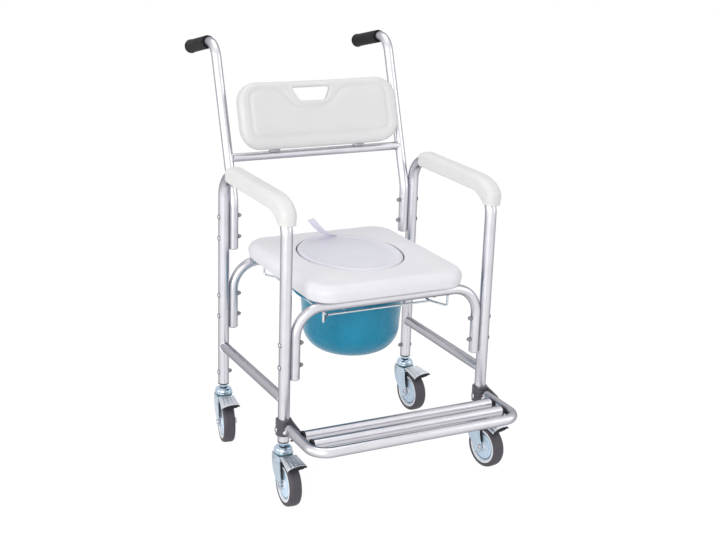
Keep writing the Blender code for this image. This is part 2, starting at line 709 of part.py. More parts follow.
def pad_section(x, high, low, radius):
    """A section of an arm pad between its outer point and its tube-side point."""
    high, low = Vector(high), Vector(low)
    height = (high - low).length
    up = (high - low) / height
    outline = arc((PAD_HALF_WIDTH - radius, height - radius), radius, 0, math.pi / 2, 3)
    outline += arc((radius - PAD_HALF_WIDTH, height - radius), radius, math.pi / 2, math.pi, 3)
    outline += [(-PAD_HALF_WIDTH, PAD_EDGE), (PAD_EDGE - PAD_HALF_WIDTH, 0),
                (PAD_HALF_WIDTH - PAD_EDGE, 0), (PAD_HALF_WIDTH, PAD_EDGE)]
    return [Vector((x + across, low[0] + up[0] * rise, low[1] + up[1] * rise))
            for across, rise in outline]


def armpad(side):
    """A moulded pad over the arm run and the front bend, open below along the tube."""
    x = side * FRAME_HALF_WIDTH
    top, low = ARM_RUN_Z + PAD_ABOVE_TUBE, ARM_RUN_Z - PAD_BELOW_TUBE
    sections = []
    for setback, drop, rise in PAD_REAR_ROUND:
        y = PAD_REAR_Y - setback
        sections.append(pad_section(x, (y, top - drop), (y, low + rise), PAD_SHOULDER_R))
    bend_y = ARM_BEND_R - LEG_HALF_SPACING
    bend_r = ARM_BEND_R + PAD_HALF_WIDTH
    inner_y = PAD_BELOW_TUBE - LEG_HALF_SPACING
    for i in range(PAD_STEPS + 1):
        share = i / PAD_STEPS
        turn = share * math.pi / 2
        high = (bend_y - bend_r * math.sin(turn), top - PAD_FRONT_FALL * (1 - math.cos(turn)))
        inner = (bend_y + (inner_y - bend_y) * share, low + (PAD_FRONT_Z - low) * share * share)
        radius = PAD_SHOULDER_R + (PAD_NOSE_R - PAD_SHOULDER_R) * share
        sections.append(pad_section(x, high, inner, radius))
    foot = PAD_FRONT_Z - PAD_EDGE
    sections.append(pad_section(x, (bend_y - bend_r, foot), (inner_y, foot), PAD_NOSE_R))
    bore = bar(frame_path(x), LEG_TUBE_R + GAP, (1, 0, 0), TUBE_SIDES)
    return cut(loft(sections), bore)


def seat_sections():
    """The seat's rings: up the outside, over the crown, down the lid's recess and the opening."""
    shoulder = SEAT_SHOULDER_R
    outer = []
    rows = [(-SEAT_WAIST - SEAT_EDGE, 0), (-SEAT_WAIST, SEAT_EDGE)]
    rows += arc((-shoulder, SEAT_HEIGHT - shoulder), shoulder, 0, math.pi / 2, 3)
    for grow, rise in rows:
        outline = rounded_outline(SEAT_HALF_WIDTH + grow, -SEAT_FRONT - grow, SEAT_REAR + grow,
                                  SEAT_CORNER_R + grow, 4, 5)
        outer.append([Vector((x, y, SEAT_BOTTOM + rise)) for x, y in outline])
    angles = []
    for point in outer[2]:
        angles.append(math.atan2((point.y - LID_Y) / LID_HALF_LENGTH, point.x / LID_HALF_WIDTH))
    half_x, half_y = LID_HALF_WIDTH + LID_SIDE_GAP, LID_HALF_LENGTH + LID_END_GAP
    inner = []
    for grow, z in [(SEAT_EDGE, SEAT_TOP), (0, SEAT_TOP - SEAT_EDGE), (0, LEDGE_Z),
                    (-LID_LEDGE_WIDTH, LEDGE_Z), (-LID_LEDGE_WIDTH, SEAT_BOTTOM)]:
        inner.append([Vector(((half_x + grow) * math.cos(angle),
                              LID_Y + (half_y + grow) * math.sin(angle), z)) for angle in angles])
    crest = []
    for edge, rim in zip(outer[-1], inner[0]):
        point = edge.lerp(rim, 0.5)
        crest.append(Vector((point.x, point.y, SEAT_TOP + SEAT_CROWN)))
    return outer + [crest] + inner


def seat_cushion():
    """The padded seat: crowned, with drawn-in sides, an oval opening and a ledge for the lid."""
    holes = []
    for x, y in seat_screw_places():
        top = SEAT_BOTTOM + SCREW_BITE + GAP
        holes.append(rod(SCREW_R + GAP, (x, y, SEAT_BOTTOM - THIN_TUBE_R), (x, y, top)))
    return cut(loft(seat_sections(), looped=True), *holes)


def seat_screw_places():
    """Where the seat is screwed down through the bows."""
    return [(side * SEAT_SCREW_X, end * LEG_HALF_SPACING) for side in (-1, 1) for end in (-1, 1)]


def seat_lid():
    """The padded oval lid: a plug in the opening, a pad on the ledge and a soft raised rim."""
    clear = LID_LEDGE_WIDTH + LID_PLUG_CLEARANCE
    plug_x, plug_y = LID_HALF_WIDTH + LID_SIDE_GAP - clear, LID_HALF_LENGTH + LID_END_GAP - clear
    bottom, foot = LEDGE_Z + GAP, LEDGE_Z - LID_PLUG_DEPTH
    rows = [(plug_x - LID_EDGE, plug_y - LID_EDGE, foot), (plug_x, plug_y, foot + LID_EDGE),
            (plug_x, plug_y, bottom), (LID_HALF_WIDTH - LID_EDGE, LID_HALF_LENGTH - LID_EDGE, bottom),
            (LID_HALF_WIDTH, LID_HALF_LENGTH, bottom + LID_EDGE)]
    rim = arc((-LID_RIM_R, LID_TOP - LID_CROWN[0][1] - LID_RIM_R), LID_RIM_R, 0, math.pi / 2, 3)
    for grow, z in rim + [(-inset, LID_TOP - drop) for inset, drop in LID_CROWN]:
        rows.append((LID_HALF_WIDTH + grow, LID_HALF_LENGTH + grow, z))
    rings = []
    for half_x, half_y, z in rows:
        ring = []
        for i in range(LID_SIDES):
            angle = math.tau * i / LID_SIDES
            ring.append(Vector((half_x * math.cos(angle), LID_Y + half_y * math.sin(angle), z)))
        rings.append(ring)
    return loft(rings)


def lid_strap():
    """The ribbon tab that lies on the lid's rear rim and stands up from it."""
    lie = LID_TOP - LID_CROWN[0][1] + GAP + STRAP_THICKNESS / 2
    rear = LID_Y + LID_HALF_LENGTH - LID_RIM_R - STRAP_REST
    path = [Vector((left, rear - forward, lie + up)) for left, forward, up in STRAP_KNOTS]
    across = Vector(STRAP_ACROSS).normalized() * STRAP_WIDTH / 2
    rings = []
    for i, point in enumerate(path):
        along = (path[min(i + 1, len(path) - 1)] - path[max(i - 1, 0)]).normalized()
        side = across - along * across.dot(along)
        thick = along.cross(side).normalized() * STRAP_THICKNESS / 2
        rings.append([point - side - thick, point + side - thick, point + side + thick,
                      point - side + thick])
    return loft(rings)


def pail_rails():
    """Two bent wire rails hung under the bows, welded to the stop wire across their front."""
    top = BOW_RUN_Z - flat(THIN_TUBE_R) - GAP
    rails = []
    for name, side in SIDES.items():
        front_x, rear_x = side * HANGER_FRONT_X[name], side * HANGER_REAR_X
        corners = [(front_x, -LEG_HALF_SPACING, top), (front_x, -LEG_HALF_SPACING, RAIL_Z),
                   (side * RAIL_X, RAIL_FRONT_Y, RAIL_Z), (side * RAIL_X, RAIL_REAR_Y, RAIL_Z),
                   (rear_x, LEG_HALF_SPACING, RAIL_Z), (rear_x, LEG_HALF_SPACING, top)]
        bends = [HANGER_BEND_R] + [2 * HANGER_BEND_R] * 2 + [HANGER_BEND_R]
        rails.append(bar(bent_path(corners, bends, 2), WIRE_R, (1, 0.2, 0)))
    stop = rod(WIRE_R, (-RAIL_X, RAIL_FRONT_Y, RAIL_Z), (RAIL_X, RAIL_FRONT_Y, RAIL_Z))
    return fused(stop, *rails)


def pail():
    """The round pail: a flange that hangs on the rails, a short rim and a rounded foot."""
    seat = RAIL_TOP + GAP
    bottom = seat - PAIL_DEPTH
    foot = PAIL_FOOT_R - PAIL_FOOT_BEND_R
    bend = (foot, bottom + PAIL_FOOT_BEND_R)
    outer = arc(bend, PAIL_FOOT_BEND_R, -math.pi / 2, 0, 3)
    rim_r = PAIL_TOP_R + PAIL_WALL
    outer += [(PAIL_WAIST_R, seat - PAIL_WAIST_DEPTH), (PAIL_TOP_R, seat), (PAIL_FLANGE_R, seat),
              (PAIL_FLANGE_R, seat + PAIL_FLANGE), (rim_r, seat + PAIL_FLANGE + PAIL_FILLET),
              (rim_r, seat + PAIL_RIM_HEIGHT)]
    inner = [(PAIL_TOP_R, seat + PAIL_RIM_HEIGHT), (PAIL_TOP_R - PAIL_WALL, seat),
             (PAIL_WAIST_R - PAIL_WALL, seat - PAIL_WAIST_DEPTH)]
    inner += arc(bend, PAIL_FOOT_BEND_R - PAIL_WALL, 0, -math.pi / 2, 3)
    return turned(outer + inner, PAIL_SIDES, Matrix.Translation((0, PAIL_Y, 0)))


def footrest_clamp(side):
    """A collar round the front leg and a cheek that the footrest hangs on, alike on both sides."""
    x, y = side * FRAME_HALF_WIDTH, -LEG_HALF_SPACING
    low, high = FOOTREST_Z - CLAMP_BELOW, FOOTREST_Z + CLAMP_ABOVE
    near = x + flat(THIN_TUBE_R) + GAP
    far = near + CHEEK_THICKNESS
    collar = rod(CLAMP_R, (x, y, low), (x, y, high), TUBE_SIDES)
    outline = [(y, high - CHEEK_INSET), (y, low + CHEEK_INSET)]
    outline += [(y - forward, FOOTREST_Z + up) for forward, up in CHEEK_SHAPE]
    under = FOOTREST_Z - flat(THIN_TUBE_R) - GAP
    tip = PIVOT_Y - CHEEK_REACH + GAP
    stop = block((x - STOP_REACH, tip, under - STOP_SHEET), (far - CHEEK_INSET, tip + STOP_LENGTH, under))
    solid = fused(collar, extruded(outline, near, far), stop)
    leg = rod(LEG_TUBE_R + GAP, (x, y, low - LEG_TUBE_R), (x, y, high + LEG_TUBE_R), TUBE_SIDES)
    reach = 2 * CLAMP_R
    lock = rod(BOLT_HOLE_R, (x - reach, y, LOCK_BOLT_Z), (x + reach, y, LOCK_BOLT_Z))
    pivot = rod(BOLT_HOLE_R, (x, PIVOT_Y, FOOTREST_Z), (x + reach, PIVOT_Y, FOOTREST_Z))
    return cut(solid, leg, lock, pivot)


def footrest_frame():
    """The U-shaped tube that swings on the clamps."""
    rear = PIVOT_Y + FOOTREST_TAIL
    front = -LEG_HALF_SPACING - FOOTREST_REACH
    x, z = FRAME_HALF_WIDTH, FOOTREST_Z
    path = bent_path([(-x, rear, z), (-x, front, z), (x, front, z), (x, rear, z)],
                     [FOOTREST_BEND_R, FOOTREST_BEND_R])
    holes = []
    for middle in (-x, x):
        near, far = (middle - TUBE_REACH, PIVOT_Y, z), (middle + TUBE_REACH, PIVOT_Y, z)
        holes.append(rod(BOLT_HOLE_R + GAP, near, far, AXLE_SIDES))
    return cut(tube(path, THIN_TUBE_R, (0, 0, 1)), *holes)


def slat_half_length():
    """From the middle to the slat tube's end, inside its end caps."""
    return FRAME_HALF_WIDTH - flat(THIN_TUBE_R) - GAP - SLAT_CAP - GAP


def footrest_slat(forward):
    """A straight slat tube across the footrest."""
    y = -LEG_HALF_SPACING - forward
    half = slat_half_length()
    return tube([Vector((-half, y, FOOTREST_Z)), Vector((half, y, FOOTREST_Z))], THIN_TUBE_R, (0, 0, 1))


def slat_end_cap(side, forward):
    """A plastic cap with a plug in the slat's end, between the slat and the side bar."""
    inside = flat(THIN_TUBE_R - TUBE_WALL) - GAP
    profile = [(inside, -SLAT_PLUG), (inside, GAP), (THIN_TUBE_R, GAP), (THIN_TUBE_R, SLAT_CAP + GAP)]
    at = (side * slat_half_length(), -LEG_HALF_SPACING - forward, FOOTREST_Z)
    return turned(profile, TUBE_SIDES, toward(at, (side, 0, 0)))


def footrest_pivot_bolt(side):
    """The bolt through the clamp's cheek that the footrest turns on, with its nut."""
    head = side * FRAME_HALF_WIDTH + flat(THIN_TUBE_R) + 2 * GAP + CHEEK_THICKNESS
    grip_length = CHEEK_THICKNESS + 2 * flat(THIN_TUBE_R) + 3 * GAP
    return bolt((head, PIVOT_Y, FOOTREST_Z), (1, 0, 0), grip_length)


def leg_places():
    """The four legs' names and centre lines."""
    return [(f"{end_name}_{side_name}", side * FRAME_HALF_WIDTH, end * LEG_HALF_SPACING)
            for end_name, end in ENDS.items() for side_name, side in SIDES.items()]


def socket_bore_top():
    """The blind end of the stem's bore, under the lock bolt."""
    return LOCK_BOLT_Z - BOLT_R - SOCKET_FLOOR


def caster_socket():
    """The plug in the leg's foot that the caster's stem stands in."""
    inside = flat(LEG_TUBE_R - TUBE_WALL) - GAP
    foot = LEG_BOTTOM_Z - GAP
    bore = STEM_R + GAP
    profile = [(inside, LOCK_BOLT_Z + SOCKET_ABOVE_BOLT), (inside, foot), (LEG_TUBE_R, foot),
               (LEG_TUBE_R, foot - SOCKET_FLANGE), (bore, foot - SOCKET_FLANGE),
               (bore, socket_bore_top())]
    reach = 2 * LEG_TUBE_R
    lock = rod(BOLT_HOLE_R, (-reach, 0, LOCK_BOLT_Z), (reach, 0, LOCK_BOLT_Z))
    return cut(turned(profile, STEM_SIDES), lock)


def caster_stem():
    """The fixed stem: a rivet head under the crown, the swivel's dome, the rod and its nut."""
    under = CROWN_TOP - CROWN_SHEET - GAP
    seat = CROWN_TOP + GAP
    top = seat + DOME_HEIGHT
    nut_top = STEM_NUT_Z + STEM_NUT_HEIGHT
    dome = arc((DOME_R - DOME_BEND_R, top - DOME_BEND_R), DOME_BEND_R, 0, math.pi / 2, 2)
    profile = [(RIVET_HEAD_R, under - RIVET_HEAD), (RIVET_HEAD_R, under), (STEM_R, under), (STEM_R, seat),
               (DOME_R, seat)] + dome
    profile += [(STEM_NUT_R, top), (STEM_NUT_R, nut_top), (STEM_R, nut_top),
                (STEM_R, socket_bore_top() - GAP)]
    return turned(profile, STEM_SIDES)


def tangent_angle(centre, radius, point, way):
    """Where a line from a point touches a circle; way picks one of the two."""
    spoke = Vector(point) - Vector(centre)
    return math.atan2(spoke.y, spoke.x) + way * math.acos(radius / spoke.length)


def caster_fork():
    """The swivel fork, folded from sheet: a crown, two tapering cheeks and the holes in them."""
    boss = (-CASTER_TRAIL, AXLE_Z)
    front = (-CROWN_FRONT, CROWN_TOP - CROWN_SKIRT)
    back = (CROWN_BACK, CROWN_TOP - CROWN_SKIRT)
    start = tangent_angle(boss, AXLE_BOSS_R, back, -1)
    end = tangent_angle(boss, AXLE_BOSS_R, front, 1) - math.tau
    outline = [(CROWN_BACK, CROWN_TOP), back] + arc(boss, AXLE_BOSS_R, start, end, 5)
    outline += [front, (-CROWN_FRONT, CROWN_TOP)]
    solid = extruded(outline, -FORK_OUTER, FORK_OUTER)
    inside = block((-FORK_INNER, -PEDAL_REACH, 0), (FORK_INNER, WHEEL_R, CROWN_TOP - CROWN_SHEET))
    stem = rod(STEM_R + 2 * GAP, (0, 0, AXLE_Z), (0, 0, 2 * CROWN_TOP), TUBE_SIDES)
    reach = 2 * FORK_OUTER
    axle = rod(AXLE_R + GAP, (-reach, -CASTER_TRAIL, AXLE_Z), (reach, -CASTER_TRAIL, AXLE_Z), AXLE_SIDES)
    pin = rod(PEDAL_PIN_R + GAP, (-reach, -PEDAL_PIN_FORWARD, PEDAL_PIN_Z),
              (reach, -PEDAL_PIN_FORWARD, PEDAL_PIN_Z))
    return cut(cut(solid, inside), stem, axle, pin)


def caster_axle():
    """The axle bolt with its head and its nut run up to the cheeks."""
    half = FORK_OUTER + GAP
    profile = [(AXLE_HEAD_R * 0.8, -half - AXLE_HEAD), (AXLE_HEAD_R, -half), (AXLE_R, -half),
               (AXLE_R, half), (AXLE_HEAD_R, half), (AXLE_HEAD_R * 0.8, half + AXLE_HEAD)]
    return turned(profile, AXLE_SIDES, toward((0, -CASTER_TRAIL, AXLE_Z), (1, 0, 0)))


def wheel_place():
    """The wheel's axis, with a flat of the tread at the bottom."""
    return Matrix.Translation((0, -CASTER_TRAIL, AXLE_Z)) @ Matrix.Rotation(math.pi / 2, 4, "Y")


def mirrored_profile(half):
    """A looped profile from the points on its one side."""
    return half + [(radius, -width) for radius, width in reversed(half)]


def round_wheel(half):
    """Turn a wheel profile; its flats, not its corners, are at the stated radii."""
    grow = 1 / math.cos(math.pi / WHEEL_SIDES)
    profile = mirrored_profile([(radius * grow, width) for radius, width in half])
    return turned(profile, WHEEL_SIDES, wheel_place(), looped=True)


def caster_tyre():
    """The tyre with a flat tread and round shoulders."""
    half = TYRE_WIDTH / 2
    inner = WHEEL_R - TYRE_DEPTH + GAP
    return round_wheel([(inner, half), (WHEEL_R - SHOULDER_DROP, half - SHOULDER_DROP / 2),
                        (WHEEL_R, half - SHOULDER_WIDTH)])


def caster_wheel():
    """The wheel's core: hub, web and rim."""
    half = TYRE_WIDTH / 2
    web = half - WEB_DEPTH
    rim = half - RIM_INSET
    return round_wheel([(AXLE_R + GAP, half), (HUB_R, half), (HUB_R, web), (RIM_INNER_R, web),
                        (RIM_INNER_R + RIM_INSET, rim), (WHEEL_R - TYRE_DEPTH, rim)])


def brake_pedal():
    """The brake pedal: a sloping plate on two arms with a pin through the fork's cheeks."""
    run = PEDAL_REACH - CROWN_FRONT
    front_edge = (0, -PEDAL_REACH, CROWN_TOP + PEDAL_RISE - run * math.tan(PEDAL_SLOPE))
    slope = Matrix.Translation(front_edge) @ Matrix.Rotation(PEDAL_SLOPE, 4, "X")
    length = (run - PEDAL_CLEARANCE) / math.cos(PEDAL_SLOPE)
    half = PEDAL_WIDTH / 2
    plate = extruded([(0, -PEDAL_SHEET), (length, -PEDAL_SHEET), (length, 0), (0, 0)],
                     PEDAL_OFFSET - half, PEDAL_OFFSET + half, slope)
    middle = -PEDAL_SHEET / 2
    pin = Vector((0, -PEDAL_PIN_FORWARD, PEDAL_PIN_Z))
    under_crown = (-CROWN_FRONT - PEDAL_CLEARANCE, CROWN_TOP - CROWN_SHEET - PEDAL_CLEARANCE)
    arm = [tuple(slope @ Vector((0, along, middle)))[1:]
           for along in (length - PEDAL_ARM_REACH, length + middle)]
    arm += [under_crown, (pin.y, pin.z + PEDAL_EYE_R), (pin.y + PEDAL_EYE_R, pin.z),
            (pin.y, pin.z - PEDAL_EYE_R)]
    parts = []
    for edge in (GAP - FORK_INNER, FORK_INNER - GAP - PEDAL_ARM_SHEET):
        parts.append(extruded(arm, edge, edge + PEDAL_ARM_SHEET))
    reach = Vector((FORK_OUTER, 0, 0))
    parts.append(rod(PEDAL_PIN_R, pin - reach, pin + reach))
    return fused(plate, *parts)


def build_casters(metal, plastic, rubber, grey, black):
    """Four casters, alike, each under an empty on its stem's axis."""
    wheel_origin = (0, -CASTER_TRAIL, AXLE_Z)
    pedal_origin = (0, -PEDAL_PIN_FORWARD, PEDAL_PIN_Z)
    fixed = [("caster_socket", caster_socket(), black), ("caster_stem", caster_stem(), metal)]
    turning = [("caster_fork", caster_fork(), metal, (0, 0, CROWN_TOP)),
               ("caster_axle", caster_axle(), metal, wheel_origin),
               ("caster_wheel", caster_wheel(), plastic, wheel_origin),
               ("caster_tyre", caster_tyre(), rubber, wheel_origin),
               ("brake_pedal", brake_pedal(), grey, pedal_origin)]
    for corner, x, y in leg_places():
        foot = empty(f"{corner}_foot", (x, y, 0), 0)
        swivel = empty(f"{corner}_swivel", (x, y, 0), math.radians(CASTER_HEADINGS[corner]))
        for name, mesh, material in fixed:
            place(f"{name}_{corner}", mesh, material, foot)
        for name, mesh, material, origin in turning:
            place(f"{name}_{corner}", mesh, material, swivel, origin)


def empty(name, location, heading):
    """A guide that pieces are placed under."""
    guide = bpy.data.objects.new(name, None)
    bpy.context.scene.collection.objects.link(guide)
    guide.location = location
    guide.rotation_euler = (0, 0, heading)
    return guide


def build_footrest(metal, black):
    """The pieces that swing on the clamps' pivots."""
    pivot = (0, PIVOT_Y, FOOTREST_Z)
    place("footrest_frame", footrest_frame(), metal, origin=pivot)
    for name, forward in zip(("rear", "front"), SLAT_FORWARD):
        place(f"footrest_slat_{name}", footrest_slat(forward), metal, origin=pivot)
        for side_name, side in SIDES.items():
            place(f"slat_cap_{name}_{side_name}", slat_end_cap(side, forward), black, origin=pivot)


def build_chair():
    """Every piece, each with its finish."""
    clear_scene()
    alloy = finish("satin aluminium", (0.72, 0.72, 0.76), 0.32, 1.0)
    zinc = finish("zinc plate", (0.62, 0.68, 0.74), 0.30, 1.0)
    wire = finish("plated wire", (0.55, 0.56, 0.58), 0.35, 1.0)
    white = finish("white moulding", (0.80, 0.80, 0.80), 0.45)
    padding = finish("white vinyl", (0.82, 0.81, 0.84), 0.50)
    black = finish("black plastic", (0.03, 0.03, 0.035), 0.55)
    charcoal = finish("dark grey plastic", (0.08, 0.08, 0.09), 0.50)
    rubber = finish("grey rubber", (0.12, 0.11, 0.13), 0.70)
    core = finish("pale grey plastic", (0.75, 0.76, 0.80), 0.45)
    teal = finish("teal plastic", (0.03, 0.25, 0.40), 0.30)
    ribbon = finish("white ribbon", (0.78, 0.77, 0.85), 0.80)

    for name, side in SIDES.items():
        place(f"side_frame_{name}", side_frame(side), alloy)
        place(f"side_brace_{name}", side_brace(side), alloy)
        place(f"back_post_{name}", back_post(side), alloy)
        place(f"handle_grip_{name}", grip(side), black)
        place(f"armpad_{name}", armpad(side), white)
        place(f"backrest_bracket_{name}", backrest_bracket(side), zinc)
        place(f"footrest_clamp_{name}", footrest_clamp(side), charcoal)
        place(f"footrest_pivot_bolt_{name}", footrest_pivot_bolt(side), zinc)
    for name, end in ENDS.items():
        place(f"seat_bow_{name}", seat_bow(end), alloy)
    place("back_crossbar", back_crossbar(), alloy)
    place("backrest_panel", backrest_panel(), white)
    place("seat_cushion", seat_cushion(), padding)
    place("pail_rails", pail_rails(), wire)
    place("pail", pail(), teal, origin=(0, PAIL_Y, RAIL_TOP))
    place("seat_lid", seat_lid(), padding, origin=(0, LID_Y, LEDGE_Z))
    place("lid_strap", lid_strap(), ribbon, origin=(0, LID_Y, LEDGE_Z))
    build_footrest(alloy, black)
    build_casters(zinc, core, rubber, charcoal, black)


def stand_on_origin():
    """Move everything so that the middle of the chair's outline stands on the origin."""
    bpy.context.view_layer.update()
    points = []
    for thing in bpy.data.objects:
        if thing.type == "MESH":
            points += [thing.matrix_world @ vertex.co for vertex in thing.data.vertices]
    low = [min(point[i] for point in points) for i in range(3)]
    high = [max(point[i] for point in points) for i in range(3)]
    middle = [round((low[i] + high[i]) / 2, 4) for i in range(2)]
    for thing in bpy.data.objects:
        if thing.parent is None:
            thing.location -= Vector((*middle, 0))


build_chair()
stand_on_origin()
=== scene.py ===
"""The looks of the wheeled commode chair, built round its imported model.

Metres, +Z up, the chair faces -Y. Right and left are the sitter's, so the right side is at -X.
Points given to mm() are in millimetres.
"""

import math

import bmesh
import bpy
import mathutils
import numpy
from mathutils import Matrix, Vector
from mathutils.geometry import delaunay_2d_cdt


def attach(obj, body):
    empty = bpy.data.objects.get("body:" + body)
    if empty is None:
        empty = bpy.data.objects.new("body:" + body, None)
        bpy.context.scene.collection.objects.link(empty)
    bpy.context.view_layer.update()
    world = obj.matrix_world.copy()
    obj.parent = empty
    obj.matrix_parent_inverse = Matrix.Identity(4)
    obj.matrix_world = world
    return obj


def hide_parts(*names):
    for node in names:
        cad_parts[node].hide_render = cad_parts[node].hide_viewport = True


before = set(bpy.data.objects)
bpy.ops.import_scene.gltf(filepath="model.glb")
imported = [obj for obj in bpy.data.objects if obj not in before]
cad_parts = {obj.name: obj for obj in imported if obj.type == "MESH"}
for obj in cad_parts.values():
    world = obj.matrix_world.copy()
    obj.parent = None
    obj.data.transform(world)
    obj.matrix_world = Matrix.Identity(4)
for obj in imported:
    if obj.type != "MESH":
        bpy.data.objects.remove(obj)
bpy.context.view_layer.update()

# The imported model's sizes
SHIFT = -0.0538  # along Y, from the middle of the legs' layout to the model's origin
GAP = 0.0003  # left between two pieces
FLATS = math.cos(math.pi / 12)  # how far out a twelve-sided tube's flats lie, as a share of its radius
LEG_R = 0.0127
THIN_R = 0.0111
WALL = 0.0012
LEG_X = 0.244
LEG_Y = 0.176
LEG_BOTTOM = 0.1336
ARM_RUN = 0.643
ARM_BEND_R = 0.058
BRACE_Z, BRACE_INTO = 0.226, 0.003  # its height, and how far its ends reach into the legs
BOW_X = LEG_X - (LEG_R + THIN_R) * FLATS - GAP
BOW_RUN = 0.425
BOW_BEND_R = 0.062
BOW_BOTTOM = 0.271
BOW_BOLTS = (0.351, 0.301)
SEAT_SCREW_X = 0.110
POST_BOTTOM = 0.461
POST_BOLTS = (0.538, 0.488)
POST_BEND_Z = 0.5715
POST_BENDS = (0.080, 0.043)
RECLINE = math.radians(19.2)
HANDLE_Z = 0.919
HANDLE_DROP = math.radians(12.8)
HANDLE_LENGTH = 0.157
CROSSBAR_Z = 0.6645
CROSSBAR_R, CROSSBAR_INTO = 0.0095, 0.002
CROSSBAR_Y = LEG_Y + (CROSSBAR_Z - POST_BEND_Z) * math.tan(RECLINE)
LOCK_Z = 0.161
SEAT_BOTTOM = 0.4360
SEAT_TOP = 0.4735
LID_TOP = 0.4755
LID_X, LID_Y, LID_ASIDE, LID_MIDDLE = 0.114, 0.1415, -0.003, 0.014
PAIL_Y, PAIL_DEPTH, PAIL_FOOT_R = 0.005, 0.140, 0.055
RAIL_Z, RAIL_X, RAIL_REAR, STOP_Y, WIRE_R = 0.389, 0.127, 0.150, -0.134, 0.0025
FRONT_HANGERS, REAR_HANGER = {-1: 0.157, 1: 0.145}, 0.143  # along X from the middle
REST_Z = 0.170
REST_FRONT, REST_BEND_R = -0.339, 0.037
SLATS = {"rear": -0.245, "front": -0.290}
SLAT_CAP = 0.005
PIVOT_Y = -0.2165
CLAMP_R = 0.0175
CHEEK_SHEET = 0.0045
WHEEL_R = 0.049
TRAIL = 0.035
CROWN = 0.106
SIDES = {"right": -1, "left": 1}
ENDS = {"front": -1, "rear": 1}

# Small sizes
SUNK = 0.0002  # of a bolt or nut into what it stands on
WASHER = 0.0006
BEAD_R, CROSSBAR_BEAD = 0.0012, 0.0016  # of the welds
EASE = 0.0004  # of a tube's or ribbon's edges
SHEET_EASE = 0.0003


# Shapes

def at(x, y, z):
    """A place in the layout about the legs' middle."""
    return Vector((x, y + SHIFT, z))


def crosswise(reach, y, z):
    """A straight path from right to left."""
    return [at(-reach, y, z), at(reach, y, z)]


def mm(*points, up=0.0):
    """Pairs given in millimetres, with a height in metres added to the second of each."""
    return [(first / 1000, second / 1000 + up) for first, second in points]


class Shape:
    """Skins gathered into one mesh, with UVs in metres."""

    def __init__(self):
        self.points, self.faces, self.uvs = [], [], []

    def skin(self, rings, looped=False, place=None):
        """Join rings of equal length; looped joins the last to the first, else both ends are capped."""
        place = place or Matrix()
        start, count = len(self.points), len(rings[0])
        rings = [[place @ Vector(point) for point in ring] for ring in rings]
        for ring in rings:
            self.points += ring
        pairs = [(i, i + 1) for i in range(len(rings) - 1)] + ([(len(rings) - 1, 0)] if looped else [])
        along = [0.0]
        for i, j in pairs:
            along.append(along[-1] + (rings[j][0] - rings[i][0]).length)
        widest = max(rings, key=lambda ring: (ring[0] - ring[count // 2]).length)
        around = [0.0]
        for k in range(count):
            around.append(around[-1] + (widest[(k + 1) % count] - widest[k]).length)
        for step, (i, j) in enumerate(pairs):
            near, far = along[step], along[step + 1]
            for k in range(count):
                m = (k + 1) % count
                self.faces.append((start + i * count + k, start + i * count + m,
                                   start + j * count + m, start + j * count + k))
                self.uvs += [(near, around[k]), (near, around[k + 1]), (far, around[k + 1]), (far, around[k])]
        if not looped:
            for i in (0, len(rings) - 1):
                self.faces.append(tuple(start + i * count + k for k in range(count)))
                self.uvs += [(point.x, point.y) for point in rings[i]]

    def turn(self, profile, sides, place, phase=0.0, looped=False):
        """Add a form turned from (radius, height) points about a place's Z axis."""
        rings = []
        for radius, height in profile:
            rings.append([Vector((u, v, height)) for u, v in circle(radius, sides, phase)])
        self.skin(rings, looped, place)

    def slab(self, outline, low, high, ease, place):
        """Add a plate with eased edges: an outline of (Y, Z) points between two places along X."""
        rings = []
        for inset, x in ((ease, low), (0, low + ease), (0, high - ease), (ease, high)):
            points = offset(outline, inset) if inset else outline
            rings.append([Vector((x, y, z)) for y, z in points])
        self.skin(rings, place=place)

    def mesh(self, angle=35):
        """The finished mesh, smooth where faces meet at less than the angle."""
        mesh = bpy.data.meshes.new("shape")
        mesh.from_pydata(self.points, [], self.faces)
        layer = mesh.uv_layers.new(name="metres")
        layer.data.foreach_set("uv", [value for uv in self.uvs for value in uv])
        return finished(mesh, angle)


def finished(mesh, angle):
    """Turn a mesh's faces outwards and smooth those that meet at less than the angle."""
    bm = bmesh.new()
    bm.from_mesh(mesh)
    bmesh.ops.recalc_face_normals(bm, faces=bm.faces)
    bm.to_mesh(mesh)
    bm.free()
    mesh.shade_smooth()
    mesh.set_sharp_from_angle(angle=math.radians(angle))
    return mesh


def circle(radius, sides, phase=0.0):
    """A round section as (across, up) pairs."""
    angles = [math.tau * (k + phase) / sides for k in range(sides)]
    return [(radius * math.cos(angle), radius * math.sin(angle)) for angle in angles]


def arc(centre, radius, start, end, steps):
    """Points on an arc in a plane, angles in degrees."""
    points = []
    for i in range(steps + 1):
        angle = math.radians(start + (end - start) * i / steps)
        points.append((centre[0] + radius * math.cos(angle), centre[1] + radius * math.sin(angle)))
    return points


def eased(points, radius, steps):
    """A closed 2D outline with its corners rounded."""
    points = [Vector(point) for point in points]
    out = []
    for i, corner in enumerate(points):
        before, after = points[i - 1] - corner, points[(i + 1) % len(points)] - corner
        reach = min(radius, before.length * 0.45, after.length * 0.45)
        near, far = corner + before.normalized() * reach, corner + after.normalized() * reach
        for k in range(steps + 1):
            t = k / steps
            out.append(near * (1 - t) ** 2 + corner * 2 * t * (1 - t) + far * t * t)
    return [tuple(point) for point in out]


